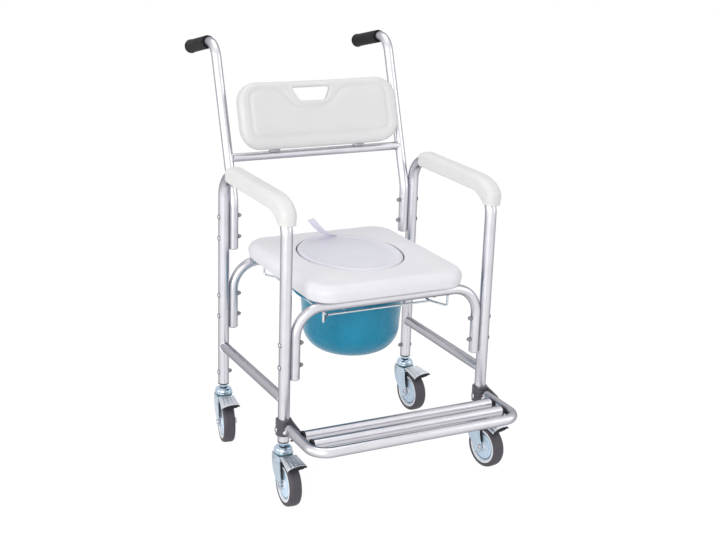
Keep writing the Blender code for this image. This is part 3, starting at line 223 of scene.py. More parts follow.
def offset(outline, inset):
    """A closed outline moved inwards."""
    area = sum(a[0] * b[1] - b[0] * a[1] for a, b in zip(outline, outline[1:] + outline[:1]))
    sense = 1 if area > 0 else -1
    out = []
    for i, point in enumerate(outline):
        a, b = Vector(outline[i - 1]), Vector(outline[(i + 1) % len(outline)])
        here = Vector(point)
        first, second = (here - a).normalized(), (b - here).normalized()
        normal = (Vector((-first.y, first.x)) + Vector((-second.y, second.x))) * sense
        normal = normal.normalized() if normal.length > 1e-6 else Vector((0, 0))
        out.append(tuple(here + normal * inset))
    return out


def bent_path(corners, radii, steps=20):
    """A path through corner points with a round bend at each inner one; steps are for a square bend."""
    corners = [Vector(corner) for corner in corners]
    path = [corners[0]]
    for before, corner, after, radius in zip(corners, corners[1:], corners[2:], radii):
        arrive, leave = (corner - before).normalized(), (after - corner).normalized()
        angle = arrive.angle(leave)
        start = corner - arrive * radius * math.tan(angle / 2)
        inward = (leave - arrive * arrive.dot(leave)).normalized()
        centre = start + inward * radius
        count = max(3, round(steps * angle / (math.pi / 2)))
        for i in range(count + 1):
            turn = angle * i / count
            path.append(centre - inward * radius * math.cos(turn) + arrive * radius * math.sin(turn))
    return path + [corners[-1]]


def curve_path(knots, steps):
    """A smooth path through points."""
    knots = [Vector(knot) for knot in knots]
    knots = [knots[0] * 2 - knots[1]] + knots + [knots[-1] * 2 - knots[-2]]
    path = []
    for i in range(1, len(knots) - 2):
        a, b, c, d = knots[i - 1:i + 3]
        for k in range(steps):
            t = k / steps
            path.append(0.5 * (2 * b + (c - a) * t + (2 * a - 5 * b + 4 * c - d) * t * t
                               + (3 * b - a - 3 * c + d) * t ** 3))
    return path + [knots[-2]]


def sweep(path, section, across, looped=False, scales=None):
    """Sections square to a path; across is a direction that the path never runs along."""
    rings = []
    side = Vector(across)
    last = len(path) - 1
    for i, point in enumerate(path):
        ahead = path[(i + 1) % len(path)] if looped or i < last else point
        behind = path[i - 1] if looped or i > 0 else point
        along = ((ahead - point).normalized() + (point - behind).normalized()).normalized()
        side = (side - along * side.dot(along)).normalized()
        up = along.cross(side)
        scale = scales[i] if scales else 1.0
        rings.append([point + (side * u + up * v) * scale for u, v in section])
    return rings


def toward(point, direction):
    """A place at a point with local Z along a direction."""
    return Matrix.Translation(point) @ Vector(direction).to_track_quat("Z", "Y").to_matrix().to_4x4()


def add_tube(shape, path, radius, across, sides=36):
    """An open tube with eased end edges."""
    outer = sweep(path, circle(radius, sides), across)
    inner = sweep(path, circle(radius - WALL, sides), across)
    ends = []
    for end, next_in in ((0, 1), (-1, -2)):
        middle = path[end]
        along = (middle - path[next_in]).normalized()
        ends.append([middle + (point - middle) * (1 - EASE / radius) for point in outer[end]])
        outer[end] = [point - along * EASE for point in outer[end]]
    shape.skin([ends[0]] + outer + [ends[1]] + inner[::-1], looped=True)


def add_plug(shape, point, direction):
    """A moulded plug that closes a thin tube's end."""
    profile = [(0.0002, 0.0022), (THIN_R * 0.45, 0.0020), (THIN_R * 0.8, 0.0014), (THIN_R * 0.93, 0.0004),
               (THIN_R * 0.93, -0.006)]
    shape.turn(profile, 32, toward(point, direction))


def add_bolt_head(shape, point, outward, radius=0.0058, height=0.0028):
    """A low domed head on a thin washer."""
    dome = [(radius * math.cos(math.radians(a)), WASHER + (height - WASHER) * math.sin(math.radians(a)))
            for a in range(15, 90, 15)]
    profile = [(0.001, 0), (radius * 1.12, 0), (radius * 1.12, WASHER), (radius, WASHER)] + dome
    shape.turn(profile + [(0.0004, height)], 24, toward(point, outward))


def add_cap_nut(shape, point, outward, radius=0.0056, length=0.0085):
    """A plastic cap nut with a six-sided base and a round tip."""
    place = toward(point, outward)
    base = [(0.002, 0), (radius, 0), (radius, length * 0.42), (radius * 0.86, length * 0.5)]
    shape.turn(base, 6, place, 0.5)
    tip = ((0.80, 0.40), (0.76, 0.62), (0.62, 0.83), (0.36, 0.96))
    shape.turn([(radius * wide, length * high) for wide, high in tip] + [(0.0003, length)], 20, place)


def add_weld(shape, centre, branch, branch_r, main, main_r, bead=BEAD_R):
    """A bead where a thin tube meets a thicker one; branch and main are their directions."""
    branch, main = Vector(branch).normalized(), Vector(main).normalized()
    across = branch.cross(main)
    path = []
    steps = 64
    for i in range(steps):
        turn = math.tau * i / steps
        u, v = (branch_r + bead * 0.2) * math.cos(turn), (branch_r + bead * 0.2) * math.sin(turn)
        path.append(centre + across * u + main * v + branch * math.sqrt(max(main_r ** 2 - u * u, 1e-9)))
    scales = [1 + 0.16 * math.sin(i * 2.1) + 0.08 * math.sin(i * 0.9) for i in range(steps)]
    shape.skin(sweep(path, circle(bead, 8), branch, looped=True, scales=scales), looped=True)


def rounded_outline(half_x, low_y, high_y, radius, steps, side_points=0):
    """A rectangle with round corners, counter-clockwise."""
    corners = [(half_x - radius, high_y - radius, 0), (radius - half_x, high_y - radius, 90),
               (radius - half_x, low_y + radius, 180), (half_x - radius, low_y + radius, 270)]
    arcs = [arc((x, y), radius, angle, angle + 90, steps) for x, y, angle in corners]
    outline = []
    for near, far in zip(arcs, arcs[1:] + arcs[:1]):
        outline += near
        for i in range(side_points):
            outline.append(tuple(Vector(near[-1]).lerp(Vector(far[0]), (i + 1) / (side_points + 1))))
    return outline


# Materials

class Finish:
    """One procedural material."""

    def __init__(self, name, roughness, metallic=0.0, **sockets):
        self.material = bpy.data.materials.new(name)
        self.material.use_nodes = True
        self.tree = self.material.node_tree
        self.shader = self.tree.nodes["Principled BSDF"]
        self.shader.inputs["Roughness"].default_value = roughness
        self.shader.inputs["Metallic"].default_value = metallic
        for key, value in sockets.items():
            self.shader.inputs[key.replace("_", " ")].default_value = value
        self.coordinates = self.node("ShaderNodeTexCoord")

    def node(self, kind, **values):
        """A node with some of its settings and inputs given."""
        node = self.tree.nodes.new(kind)
        for key, value in values.items():
            if hasattr(node, key):
                setattr(node, key, value)
            else:
                node.inputs[key.replace("_", " ")].default_value = value
        return node

    def link(self, output, socket):
        """Join two sockets."""
        self.tree.links.new(output, socket)

    def space(self, scale, uv=False):
        """Coordinates in metres times a scale for each axis."""
        mapping = self.node("ShaderNodeMapping", Scale=scale)
        self.link(self.coordinates.outputs["UV" if uv else "Object"], mapping.inputs["Vector"])
        return mapping.outputs["Vector"]

    def noise(self, size, detail, stretch=(1, 1, 1), uv=False):
        """Noise of a given feature size."""
        scale = tuple(share / size for share in stretch)
        texture = self.node("ShaderNodeTexNoise", Scale=1.0, Detail=detail)
        self.link(self.space(scale, uv), texture.inputs["Vector"])
        return texture.outputs["Fac"]

    def between(self, value, low, high, start=0.3, end=0.7):
        """A value spread over a range."""
        spread = self.node("ShaderNodeMapRange", From_Min=start, From_Max=end, To_Min=low, To_Max=high)
        self.link(value, spread.inputs["Value"])
        return spread.outputs["Result"]

    def mix(self, factor):
        """A node that mixes two colours, given as its inputs 6 and 7, into the base colour."""
        mix = self.node("ShaderNodeMix", data_type="RGBA")
        self.link(factor, mix.inputs[0])
        self.link(mix.outputs[2], self.shader.inputs["Base Color"])
        return mix

    def mottle(self, colour, low, high, factor):
        """The base colour runs between two shades of a colour."""
        mix = self.mix(factor)
        mix.inputs[6].default_value = (*shade(colour, low), 1)
        mix.inputs[7].default_value = (*shade(colour, high), 1)

    def rim(self, colour):
        """Painted shade: the base colour turns to another, darker one where the surface turns away from the
        eye, standing in for darker surroundings reflected at the edges.
        """
        facing = self.node("ShaderNodeLayerWeight", Blend=0.5)
        inner = self.shader.inputs["Base Color"].links[0].from_socket
        mix = self.mix(self.between(facing.outputs["Facing"], 0, 1, 0.17, 0.82))
        self.link(inner, mix.inputs[6])
        mix.inputs[7].default_value = (*colour, 1)

    def roughness(self, factor, low, high):
        """Roughness runs between two values."""
        self.link(self.between(factor, low, high), self.shader.inputs["Roughness"])

    def bump(self, *layers):
        """Stacked bumps of (height, depth in metres)."""
        normal = None
        for height, depth in layers:
            node = self.node("ShaderNodeBump", Strength=1.0, Distance=depth)
            self.link(height, node.inputs["Height"])
            if normal:
                self.link(normal, node.inputs["Normal"])
            normal = node.outputs["Normal"]
        self.link(normal, self.shader.inputs["Normal"])


def shade(colour, share):
    """A colour made lighter or darker."""
    return tuple(min(1.0, max(0.0, value * share)) for value in colour)


def moulded(name, colour, roughness, tint=0.03, grain=0.0006, depth=0.00003, **sockets):
    """A moulded plastic or rubber: faint mottling and a fine surface grain."""
    finish = Finish(name, roughness, **sockets)
    finish.mottle(colour, 1 - tint, 1 + tint, finish.between(finish.noise(0.05, 4), 0, 1))
    finish.roughness(finish.noise(0.012, 4), roughness - 0.05, roughness + 0.05)
    finish.bump((finish.noise(grain, 2), depth), (finish.noise(0.02, 3), depth * 4))
    return finish.material


def metal(name, colour, roughness, tint=0.04, spread=0.05, streak=0.0, depth=0.000004, edge=None):
    """A metal with an uneven dullness, some with drawing marks lengthwise and a darker edge painted in as
    shade where the surface turns away from the eye.
    """
    finish = Finish(name, roughness, 1.0)
    lines = finish.noise(0.0009, 3, (streak, 1, 1), uv=True) if streak else finish.noise(0.0012, 3)
    finish.mottle(colour, 1 - tint, 1 + tint, finish.between(finish.noise(0.03, 4), 0, 1))
    # painted shade: the edge colour darkens the sides that turn away from the eye, in place of the darker
    # surroundings they would reflect
    if edge:
        finish.rim(edge)
    finish.roughness(lines, roughness - spread, roughness + spread)
    finish.bump((lines, depth), (finish.noise(0.008, 3), depth * 3))
    return finish.material


def vinyl(name, colour, roughness, cell=0.0011, depth=0.00006):
    """A soft skin with a fine pebbled grain."""
    finish = Finish(name, roughness)
    finish.mottle(colour, 0.975, 1.015, finish.between(finish.noise(0.09, 4), 0, 1))
    cells = finish.node("ShaderNodeTexVoronoi", feature="SMOOTH_F1", Scale=1.0, Smoothness=0.6)
    finish.link(finish.space((1 / cell,) * 3), cells.inputs["Vector"])
    finish.roughness(finish.noise(0.03, 4), roughness - 0.04, roughness + 0.06)
    finish.bump((cells.outputs["Distance"], depth), (finish.noise(0.014, 3), depth * 3),
                (finish.noise(0.0004, 2), depth * 0.4))
    return finish.material


def woven(name, colour, pitch=0.0008):
    """A ribbon's plain weave."""
    finish = Finish(name, 0.75, Sheen_Weight=0.4)
    both = finish.node("ShaderNodeMath", operation="MULTIPLY")
    for socket, direction in zip(both.inputs, ("X", "Y")):
        wave = finish.node("ShaderNodeTexWave", bands_direction=direction, Scale=1.0, Distortion=0.3)
        finish.link(finish.space((0.314 / pitch,) * 3, uv=True), wave.inputs["Vector"])
        finish.link(wave.outputs["Fac"], socket)
    finish.mottle(colour, 0.93, 1.05, both.outputs[0])
    finish.bump((both.outputs[0], 0.00012))
    return finish.material


# painted shade: edge darkens the tubes' sides that turn away from the eye, in place of reflected darker
# surroundings
ALLOY = metal("satin_alloy", (0.74, 0.73, 0.77), 0.31, streak=0.012, edge=(0.11, 0.11, 0.15))
ZINC = metal("zinc_plate", (0.48, 0.58, 0.68), 0.24, tint=0.08, spread=0.09)
TREAD = metal("pedal_plate", (0.62, 0.65, 0.70), 0.40, tint=0.10)
CLIP = metal("clip_steel", (0.50, 0.50, 0.53), 0.34, tint=0.08)
# painted shade: edge darkens the fasteners' sides that turn away from the eye, in place of reflected darker
# surroundings
STEEL = metal("fastener_steel", (0.58, 0.58, 0.61), 0.24, tint=0.06, edge=(0.16, 0.16, 0.19))
WIRE = metal("plated_wire", (0.66, 0.71, 0.75), 0.26, tint=0.08)
BEAD = metal("weld_bead", (0.62, 0.62, 0.66), 0.38, tint=0.10, depth=0.00002)
PANEL = moulded("white_moulding", (0.735, 0.725, 0.715), 0.46, tint=0.015, grain=0.0009, depth=0.00004)
PAD = vinyl("arm_pad_skin", (0.765, 0.755, 0.735), 0.46, cell=0.0009, depth=0.00004)
VINYL = vinyl("seat_skin", (0.82, 0.81, 0.835), 0.42)
LID = vinyl("lid_skin", (0.755, 0.745, 0.80), 0.44)
FOAM = moulded("grip_rubber", (0.009, 0.009, 0.011), 0.62, tint=0.15, grain=0.0008, depth=0.00010,
               Specular_IOR_Level=0.18)
BLACK = moulded("black_plastic", (0.012, 0.012, 0.014), 0.46, tint=0.12, Specular_IOR_Level=0.30)
CHARCOAL = moulded("charcoal_plastic", (0.085, 0.085, 0.095), 0.38, tint=0.08, grain=0.0007, depth=0.00006)
RUBBER = moulded("tyre_rubber", (0.070, 0.062, 0.076), 0.60, tint=0.10, grain=0.0012, depth=0.00008)
CORE = moulded("wheel_core", (0.82, 0.84, 0.87), 0.34, tint=0.02)
DISC = moulded("hub_disc", (0.62, 0.77, 0.90), 0.30, tint=0.06)
# painted shade: a dark ring standing in for the shade in the hub's recess inside the rim
SHADOW_RING = moulded("hub_recess_shade_ring", (0.16, 0.21, 0.29), 0.40, tint=0.06)
TEAL = moulded("teal_plastic", (0.008, 0.240, 0.385), 0.28, tint=0.07, grain=0.0016, depth=0.00004,
               Specular_IOR_Level=0.32, Coat_Weight=0.12, Coat_Roughness=0.12)
SEAL = moulded("swivel_seal", (0.07, 0.15, 0.165), 0.35, tint=0.10)
NUT = moulded("nut_cap", (0.27, 0.27, 0.285), 0.34, tint=0.06)
RIBBON = woven("strap_ribbon", (0.88, 0.865, 0.97))


# Pieces

def piece(name, mesh, material, body="chair", replaces=()):
    """Show a mesh on a body, in place of the model's own nodes where it stands for them."""
    mesh.name = name
    mesh.materials.append(material)
    thing = bpy.data.objects.new(name, mesh)
    bpy.context.scene.collection.objects.link(thing)
    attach(thing, body)
    if replaces:
        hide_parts(*replaces)
    return thing


def side_frames():
    """The bent legs and arm runs with their low braces."""
    for name, side in SIDES.items():
        x = side * LEG_X
        tube, brace, beads = Shape(), Shape(), Shape()
        corners = [at(x, -LEG_Y, LEG_BOTTOM), at(x, -LEG_Y, ARM_RUN), at(x, LEG_Y, ARM_RUN),
                   at(x, LEG_Y, LEG_BOTTOM)]
        add_tube(tube, bent_path(corners, [ARM_BEND_R] * 2), LEG_R, (1, 0, 0), 40)
        reach = LEG_Y - LEG_R + BRACE_INTO
        add_tube(brace, [at(x, -reach, BRACE_Z), at(x, reach, BRACE_Z)], THIN_R, (1, 0, 0))
        for end in ENDS.values():
            add_weld(beads, at(x, end * LEG_Y, BRACE_Z), (0, -end, 0), THIN_R, (0, 0, 1), LEG_R)
        piece(f"side_tube_{name}", tube.mesh(), ALLOY, replaces=[f"side_frame_{name}"])
        piece(f"low_brace_{name}", brace.mesh(), ALLOY, replaces=[f"side_brace_{name}"])
        piece(f"brace_welds_{name}", beads.mesh(), BEAD)


def leg_bolts():
    """Domed heads outside, cap nuts inside."""
    outside, inside = LEG_X + LEG_R - SUNK, BOW_X - THIN_R + SUNK
    for name, side in SIDES.items():
        heads, nuts = Shape(), Shape()
        for end in ENDS.values():
            y = end * LEG_Y
            for z in BOW_BOLTS + (POST_BOLTS if end > 0 else ()):
                add_bolt_head(heads, at(side * outside, y, z), (side, 0, 0))
                add_cap_nut(nuts, at(side * inside, y, z), (-side, 0, 0))
        x = side * LEG_X
        add_bolt_head(heads, at(x - (CLAMP_R - SUNK), -LEG_Y, LOCK_Z), (-1, 0, 0))
        add_cap_nut(nuts, at(x + (CLAMP_R - SUNK), -LEG_Y, LOCK_Z), (1, 0, 0))
        add_bolt_head(heads, at(side * outside, LEG_Y, LOCK_Z), (side, 0, 0))
        add_cap_nut(nuts, at(x - side * (LEG_R - SUNK), LEG_Y, LOCK_Z), (-side, 0, 0))
        piece(f"bolt_heads_{name}", heads.mesh(30), STEEL)
        piece(f"cap_nuts_{name}", nuts.mesh(30), NUT)


SCREW_HEAD = (0.004, 0.002)  # radius and height


def seat_bows():
    """The inverted-U tubes inside the legs, with their plugs and seat screws."""
    for name, end in ENDS.items():
        y = end * LEG_Y
        tube, plugs, screws = Shape(), Shape(), Shape()
        corners = [at(-BOW_X, y, BOW_BOTTOM), at(-BOW_X, y, BOW_RUN), at(BOW_X, y, BOW_RUN),
                   at(BOW_X, y, BOW_BOTTOM)]
        add_tube(tube, bent_path(corners, [BOW_BEND_R] * 2), THIN_R, (0, 1, 0))
        for side in SIDES.values():
            add_plug(plugs, at(side * BOW_X, y, BOW_BOTTOM), (0, 0, -1))
            add_bolt_head(screws, at(side * SEAT_SCREW_X, y, BOW_RUN - THIN_R + GAP), (0, 0, -1), *SCREW_HEAD)
        piece(f"bow_tube_{name}", tube.mesh(), ALLOY, replaces=[f"seat_bow_{name}"])
        piece(f"bow_plugs_{name}", plugs.mesh(), BLACK)
        piece(f"seat_screws_{name}", screws.mesh(30), STEEL)


def post_corners(x):
    """A back post's corner points from its foot to the handle's end."""
    handle_y = LEG_Y + (HANDLE_Z - POST_BEND_Z) * math.tan(RECLINE)
    end_y = handle_y + HANDLE_LENGTH * math.cos(HANDLE_DROP)
    end_z = HANDLE_Z - HANDLE_LENGTH * math.sin(HANDLE_DROP)
    return [at(x, LEG_Y, POST_BOTTOM), at(x, LEG_Y, POST_BEND_Z), at(x, handle_y, HANDLE_Z),
            at(x, end_y, end_z)]


GRIP_RIBS, GRIP_RIB_PITCH, GRIP_FIRST_RIB = 9, 0.0110, -0.1000
GRIP_FACE = 0.0043  # how far the grip's flat end stands past the tube's


def grip_profile():
    """A ribbed push grip from its rolled collar to its flat end, measured from the tube's end."""
    profile = [(THIN_R, -0.1178), (0.0142, -0.1180)] + arc((0.0148, -0.1165), 0.0016, 220, 90, 5)
    profile += mm((15.5, -112), (14.8, -109.5))
    for i in range(GRIP_RIBS):
        middle = GRIP_FIRST_RIB + i * GRIP_RIB_PITCH
        profile += mm((14.9, -4.2), (15.4, -2.2), (15.4, 2.2), (14.9, 4.2), up=middle)
    profile += mm((15.0, -5.0), (16.3, -2.5), (16.5, 0.3)) + arc((0.0125, 0.0004), 0.0040, 0, 90, 6)[1:]
    return [(r, min(h, GRIP_FACE)) for r, h in profile + mm((6.0, 4.7), (0.3, 4.8))]


def back_posts():
    """The posts with their plugs, push handles and crossbar."""
    for name, side in SIDES.items():
        tube, plug, grip = Shape(), Shape(), Shape()
        corners = post_corners(side * BOW_X)
        add_tube(tube, bent_path(corners, POST_BENDS), THIN_R, (1, 0, 0))
        add_plug(plug, corners[0], (0, 0, -1))
        grip.turn(grip_profile(), 40, toward(corners[3], corners[3] - corners[2]))
        piece(f"post_tube_{name}", tube.mesh(), ALLOY, replaces=[f"back_post_{name}"])
        piece(f"post_plug_{name}", plug.mesh(), BLACK)
        piece(f"push_grip_{name}", grip.mesh(50), FOAM, replaces=[f"handle_grip_{name}"])
    bar, beads = Shape(), Shape()
    reach = BOW_X - THIN_R + CROSSBAR_INTO
    add_tube(bar, crosswise(reach, CROSSBAR_Y, CROSSBAR_Z), CROSSBAR_R, (0, 0, 1))
    for side in SIDES.values():
        add_weld(beads, at(side * BOW_X, CROSSBAR_Y, CROSSBAR_Z), (-side, 0, 0), CROSSBAR_R,
                 (0, math.sin(RECLINE), math.cos(RECLINE)), THIN_R, CROSSBAR_BEAD)
    piece("cross_tube", bar.mesh(), ALLOY, replaces=["back_crossbar"])
    piece("crossbar_welds", beads.mesh(), BEAD)


PANEL_AT = Matrix.Translation(at(0, CROSSBAR_Y, CROSSBAR_Z)) @ Matrix.Rotation(-RECLINE, 4, "X")
PANEL_HALF = 0.1981
PANEL_LOW, PANEL_HIGH = 0.0105, 0.163
PANEL_BACK, PANEL_FRONT = 0.0125, 0.0470
PANEL_CORNER = 0.048
PANEL_CROWN, PANEL_CROWN_WIDTH = 0.003, 0.048  # how far the front falls at its edges, and from how far in
PANEL_BOW, PANEL_LEVEL_X = 0.016, 0.096
PANEL_THINNEST = 0.003
GRID = 0.0065  # between the points inside a face
GRID_EDGE, GRID_HOLE, GRID_BACK_EDGE, GRID_LINE = 0.019, 0.012, 0.009, 0.003  # kept clear of points
EDGE_R, BACK_EDGE_R, HOLE_EDGE_R, HOLE_BACK_R = 0.012, 0.006, 0.003, 0.002
LIP, LIP_AT, LIP_WIDTH = 0.0010, 0.0048, 0.0022  # the raised ring round the hand hole
DISH, DISH_SLOPE = 0.0205, 0.92  # of the back round the hand hole
HOLE = ((-0.064, 0.1475), (-0.046, 0.1155), (0.021, 0.1155), (0.037, 0.1475))
GROOVE_HALF, GROOVE_DEPTH = 0.0085, 0.0026
GROOVE_IN, GROOVE_UNDER = 0.026, 0.020  # from the panel's edges, and from its top
BRACKET_X, BRACKET_WIDTH, BRACKET_TOP, BRACKET_SHEET = 0.108, 0.024, 0.104, 0.0024
BRACKET_SCREWS = (0.062, 0.090)
HOOK_START, HOOK_END = 145, -15  # degrees round the crossbar


def spaced(outline, step):
    """A closed outline with its long sides divided."""
    out = []
    for a, b in zip(outline, outline[1:] + outline[:1]):
        a, b = Vector(a), Vector(b)
        count = max(1, math.ceil((b - a).length / step))
        out += [tuple(a.lerp(b, k / count)) for k in range(count)]
    return out


def line_distance(points, outline):
    """How far each of many points lies from a closed line."""
    start = numpy.array(outline)
    edge = numpy.roll(start, -1, axis=0) - start
    away = points[:, None, :] - start[None]
    share = numpy.clip((away * edge).sum(-1) / (edge * edge).sum(-1), 0, 1)
    return numpy.sqrt(((away - share[..., None] * edge) ** 2).sum(-1).min(1))


def within(points, outline):
    """Which of many points lie inside a closed line."""
    inside = numpy.zeros(len(points), bool)
    for (ax, az), (bx, bz) in zip(outline, outline[1:] + outline[:1]):
        if az != bz:
            crossing = (az > points[:, 1]) != (bz > points[:, 1])
            inside ^= crossing & (points[:, 0] < (bx - ax) * (points[:, 1] - az) / (bz - az) + ax)
    return inside


def rounding(distance, radius):
    """How far a rounded edge falls at a distance in from it."""
    return radius - numpy.sqrt(radius ** 2 - (radius - numpy.clip(distance, 0, radius)) ** 2)


def edge_steps(radius, degrees):
    """Distances in from a rounded edge at even angles round it."""
    return [round(radius * (1 - math.sin(math.radians(a))), 6) for a in range(90, -1, -degrees)]


def groove_line():
    """The moulded groove's centre line, which dips under the hand hole."""
    half, low, high = PANEL_HALF - GROOVE_IN, PANEL_LOW + GROOVE_IN, PANEL_HIGH - GROOVE_UNDER
    knots = [(-0.092, high), (-half, high), (-half, low), (half, low), (half, high), (0.064, high),
             (0.027, 0.0995), (-0.052, 0.0995)]
    return spaced(eased(knots, 0.024, 7), 0.005)


def panel_face(outline, hole, insets, outsets, lines, grid):
    """Triangles of one face of the panel, as 2D points and index triples."""
    points, edges = [], []
    loops = [offset(outline, inset) if inset else outline for inset in insets]
    loops += [offset(hole, -outset) if outset else hole for outset in outsets]
    for loop in loops + lines:
        start = len(points)
        points += [Vector(point) for point in loop]
        edges += [(start + i, start + (i + 1) % len(loop)) for i in range(len(loop))]
    points += [Vector(point) for point in grid]
    flat, _, faces, _, _, _ = delaunay_2d_cdt(points, edges, [list(range(len(outline)))], 1, 1e-7)
    flat = numpy.array([tuple(point) for point in flat])
    middles = numpy.array([flat[list(face)].mean(0) for face in faces])
    keep = within(middles, outline) & ~within(middles, hole)
    return flat, [face for face, kept in zip(faces, keep) if kept]


def front_depth(flat, outline, hole, groove):
    """How far forward of the crossbar's plane the panel's front stands at many points."""
    d, e, g = line_distance(flat, outline), line_distance(flat, hole), line_distance(flat, groove)
    fall = numpy.clip(1 - d / PANEL_CROWN_WIDTH, 0, 1)
    depth = PANEL_FRONT - rounding(d, EDGE_R) - PANEL_CROWN * fall ** 2 * (3 - 2 * fall)
    depth += LIP * numpy.exp(-((e - LIP_AT) / LIP_WIDTH) ** 2) - rounding(e, HOLE_EDGE_R)
    return depth - GROOVE_DEPTH * numpy.cos(numpy.clip(g / GROOVE_HALF, 0, 1) * math.pi / 2) ** 2


def back_depth(flat, outline, hole):
    """How far forward the panel's back stands at many points, dished round the hand hole."""
    d, e = line_distance(flat, outline), line_distance(flat, hole)
    depth = PANEL_BACK + rounding(d, BACK_EDGE_R) + rounding(e, HOLE_BACK_R)
    return numpy.minimum(depth + numpy.clip(DISH - e, 0, DISH) * DISH_SLOPE, PANEL_FRONT - PANEL_THINNEST)


def panel_forward(x):
    """How far the bowed panel comes forward at a place along X."""
    return PANEL_BOW * ((x / PANEL_HALF) ** 2 - (PANEL_LEVEL_X / PANEL_HALF) ** 2)


def backrest():
    """The moulded panel: crowned and bowed, with a hand hole and a soft groove."""
    outline = spaced(rounded_outline(PANEL_HALF, PANEL_LOW, PANEL_HIGH, PANEL_CORNER, 16), 0.006)
    hole = spaced(eased(HOLE, 0.010, 5), 0.004)
    groove = groove_line()
    x, z = numpy.meshgrid(numpy.arange(-0.190, 0.191, GRID), numpy.arange(0.018, 0.158, GRID))
    grid = numpy.stack([x.ravel(), z.ravel()], -1)
    grid = grid[~within(grid, hole) & within(grid, outline)]
    from_edge, from_hole = line_distance(grid, outline), line_distance(grid, hole)
    clear = (from_edge > GRID_EDGE) & (from_hole > GRID_HOLE)
    clear &= line_distance(grid, groove) > GROOVE_HALF + GRID_LINE
    sides = [offset(groove, GROOVE_HALF * (k / 4)) for k in range(-4, 5)]
    flat, faces = panel_face(outline, hole, edge_steps(EDGE_R, 10) + [0.0155],
                             edge_steps(HOLE_EDGE_R, 18) + [0.0055, 0.0072, 0.0092], sides, grid[clear])
    outsets = [0, 0.0006, 0.0018, 0.003] + [DISH * k / 5 for k in range(1, 6)]
    flat_back, faces_back = panel_face(outline, hole, edge_steps(BACK_EDGE_R, 18), outsets, [],
                                       grid[(from_edge > GRID_BACK_EDGE) & (from_hole > DISH + GRID_LINE)])
    points = [(*place, depth) for place, depth in zip(flat, front_depth(flat, outline, hole, groove))]
    points += [(*place, depth) for place, depth in zip(flat_back, back_depth(flat_back, outline, hole))]
    triangles = [tuple(face) for face in faces]
    triangles += [tuple(len(flat) + i for i in reversed(face)) for face in faces_back]
    for loop in (outline, hole):
        for pair in zip(loop, loop[1:] + loop[:1]):
            near = [int(((flat - point) ** 2).sum(1).argmin()) for point in pair]
            far = [len(flat) + int(((flat_back - point) ** 2).sum(1).argmin()) for point in pair]
            triangles.append((near[0], near[1], far[1], far[0]))
    mesh = bpy.data.meshes.new("shape")
    placed = [PANEL_AT @ Vector((px, -(depth + panel_forward(px)), pz)) for px, pz, depth in points]
    mesh.from_pydata(placed, [], triangles)
    piece("backrest_moulding", finished(mesh, 60), PANEL, replaces=["backrest_panel"])


def backrest_clips():
    """Sheet plates behind the panel that hook over the crossbar, with their screws."""
    back = PANEL_AT.to_3x3() @ Vector((0, 1, 0))
    inner = CROSSBAR_R + GAP
    outer = inner + BRACKET_SHEET
    outline = [(-outer, BRACKET_TOP), (-outer, inner * 0.574)] + arc((0, 0), inner, HOOK_START, HOOK_END, 30)
    outline += arc((0, 0), outer, HOOK_END, math.degrees(math.acos(-inner / outer)), 30)
    outline.append((-inner, BRACKET_TOP))
    for name, side in SIDES.items():
        clip, screws = Shape(), Shape()
        low = side * BRACKET_X - BRACKET_WIDTH / 2
        clip.slab(outline, low, low + BRACKET_WIDTH, SHEET_EASE, PANEL_AT)
        for height in BRACKET_SCREWS:
            head = PANEL_AT @ Vector((side * BRACKET_X, GAP - inner, height))
            add_bolt_head(screws, head, back, *SCREW_HEAD)
        piece(f"crossbar_clip_{name}", clip.mesh(), CLIP, replaces=[f"backrest_bracket_{name}"])
        piece(f"clip_screws_{name}", screws.mesh(30), STEEL)


PAD_HALF, NOSE_HALF = 0.0180, 0.0177
PAD_TOP, PAD_LOW = ARM_RUN + 0.0248, ARM_RUN - 0.011
PAD_REAR, PAD_END = 0.130, 0.026  # the rear end, and how much of it is rounded off
PAD_FALL, NOSE_Z = 0.0350, 0.6125  # the top's drop over the bend, and the nose's lower end
PAD_CORNER, NOSE_CORNER = 0.011, 0.0158
PAD_FOOT, PAD_FOOT_EASE = 0.003, 0.0009  # the small rounding of the lower edges
END_DROP, END_LIFT, END_CORNER, END_TAPER = 0.0110, 0.0045, 0.003, 0.005  # what the rear end loses
TIP_DROP, TIP_STEP, TIP_IN = 0.0005, 0.0006, 0.002  # the same for the nose's lower end
PAD_BEND_Y, PAD_BEND_R = ARM_BEND_R - LEG_Y, ARM_BEND_R + 0.0195
NOSE_Y, NOSE_INNER_Y = PAD_BEND_Y - PAD_BEND_R, 0.011 - LEG_Y


def pad_section(x, high, low, radius, half=PAD_HALF):
    """A section of an arm pad between its outer point and its tube-side point."""
    high, low = Vector(high), Vector(low)
    height = (high - low).length
    up = (high - low) / height
    outline = arc((half - radius, height - radius), radius, 0, 90, 9)
    outline += [((half - radius) * (1 - t / 3), height) for t in (1, 2, 3, 4, 5)]
    outline += arc((radius - half, height - radius), radius, 90, 180, 9)
    foot = [(half, height * 0.4), (half, PAD_FOOT), (half - PAD_FOOT_EASE, PAD_FOOT_EASE),
            (half - PAD_FOOT, 0)]
    outline += [(-across, rise) for across, rise in foot] + [(0, 0)] + foot[::-1]
    return [at(x + across, low[0] + up[0] * rise, low[1] + up[1] * rise) for across, rise in outline]


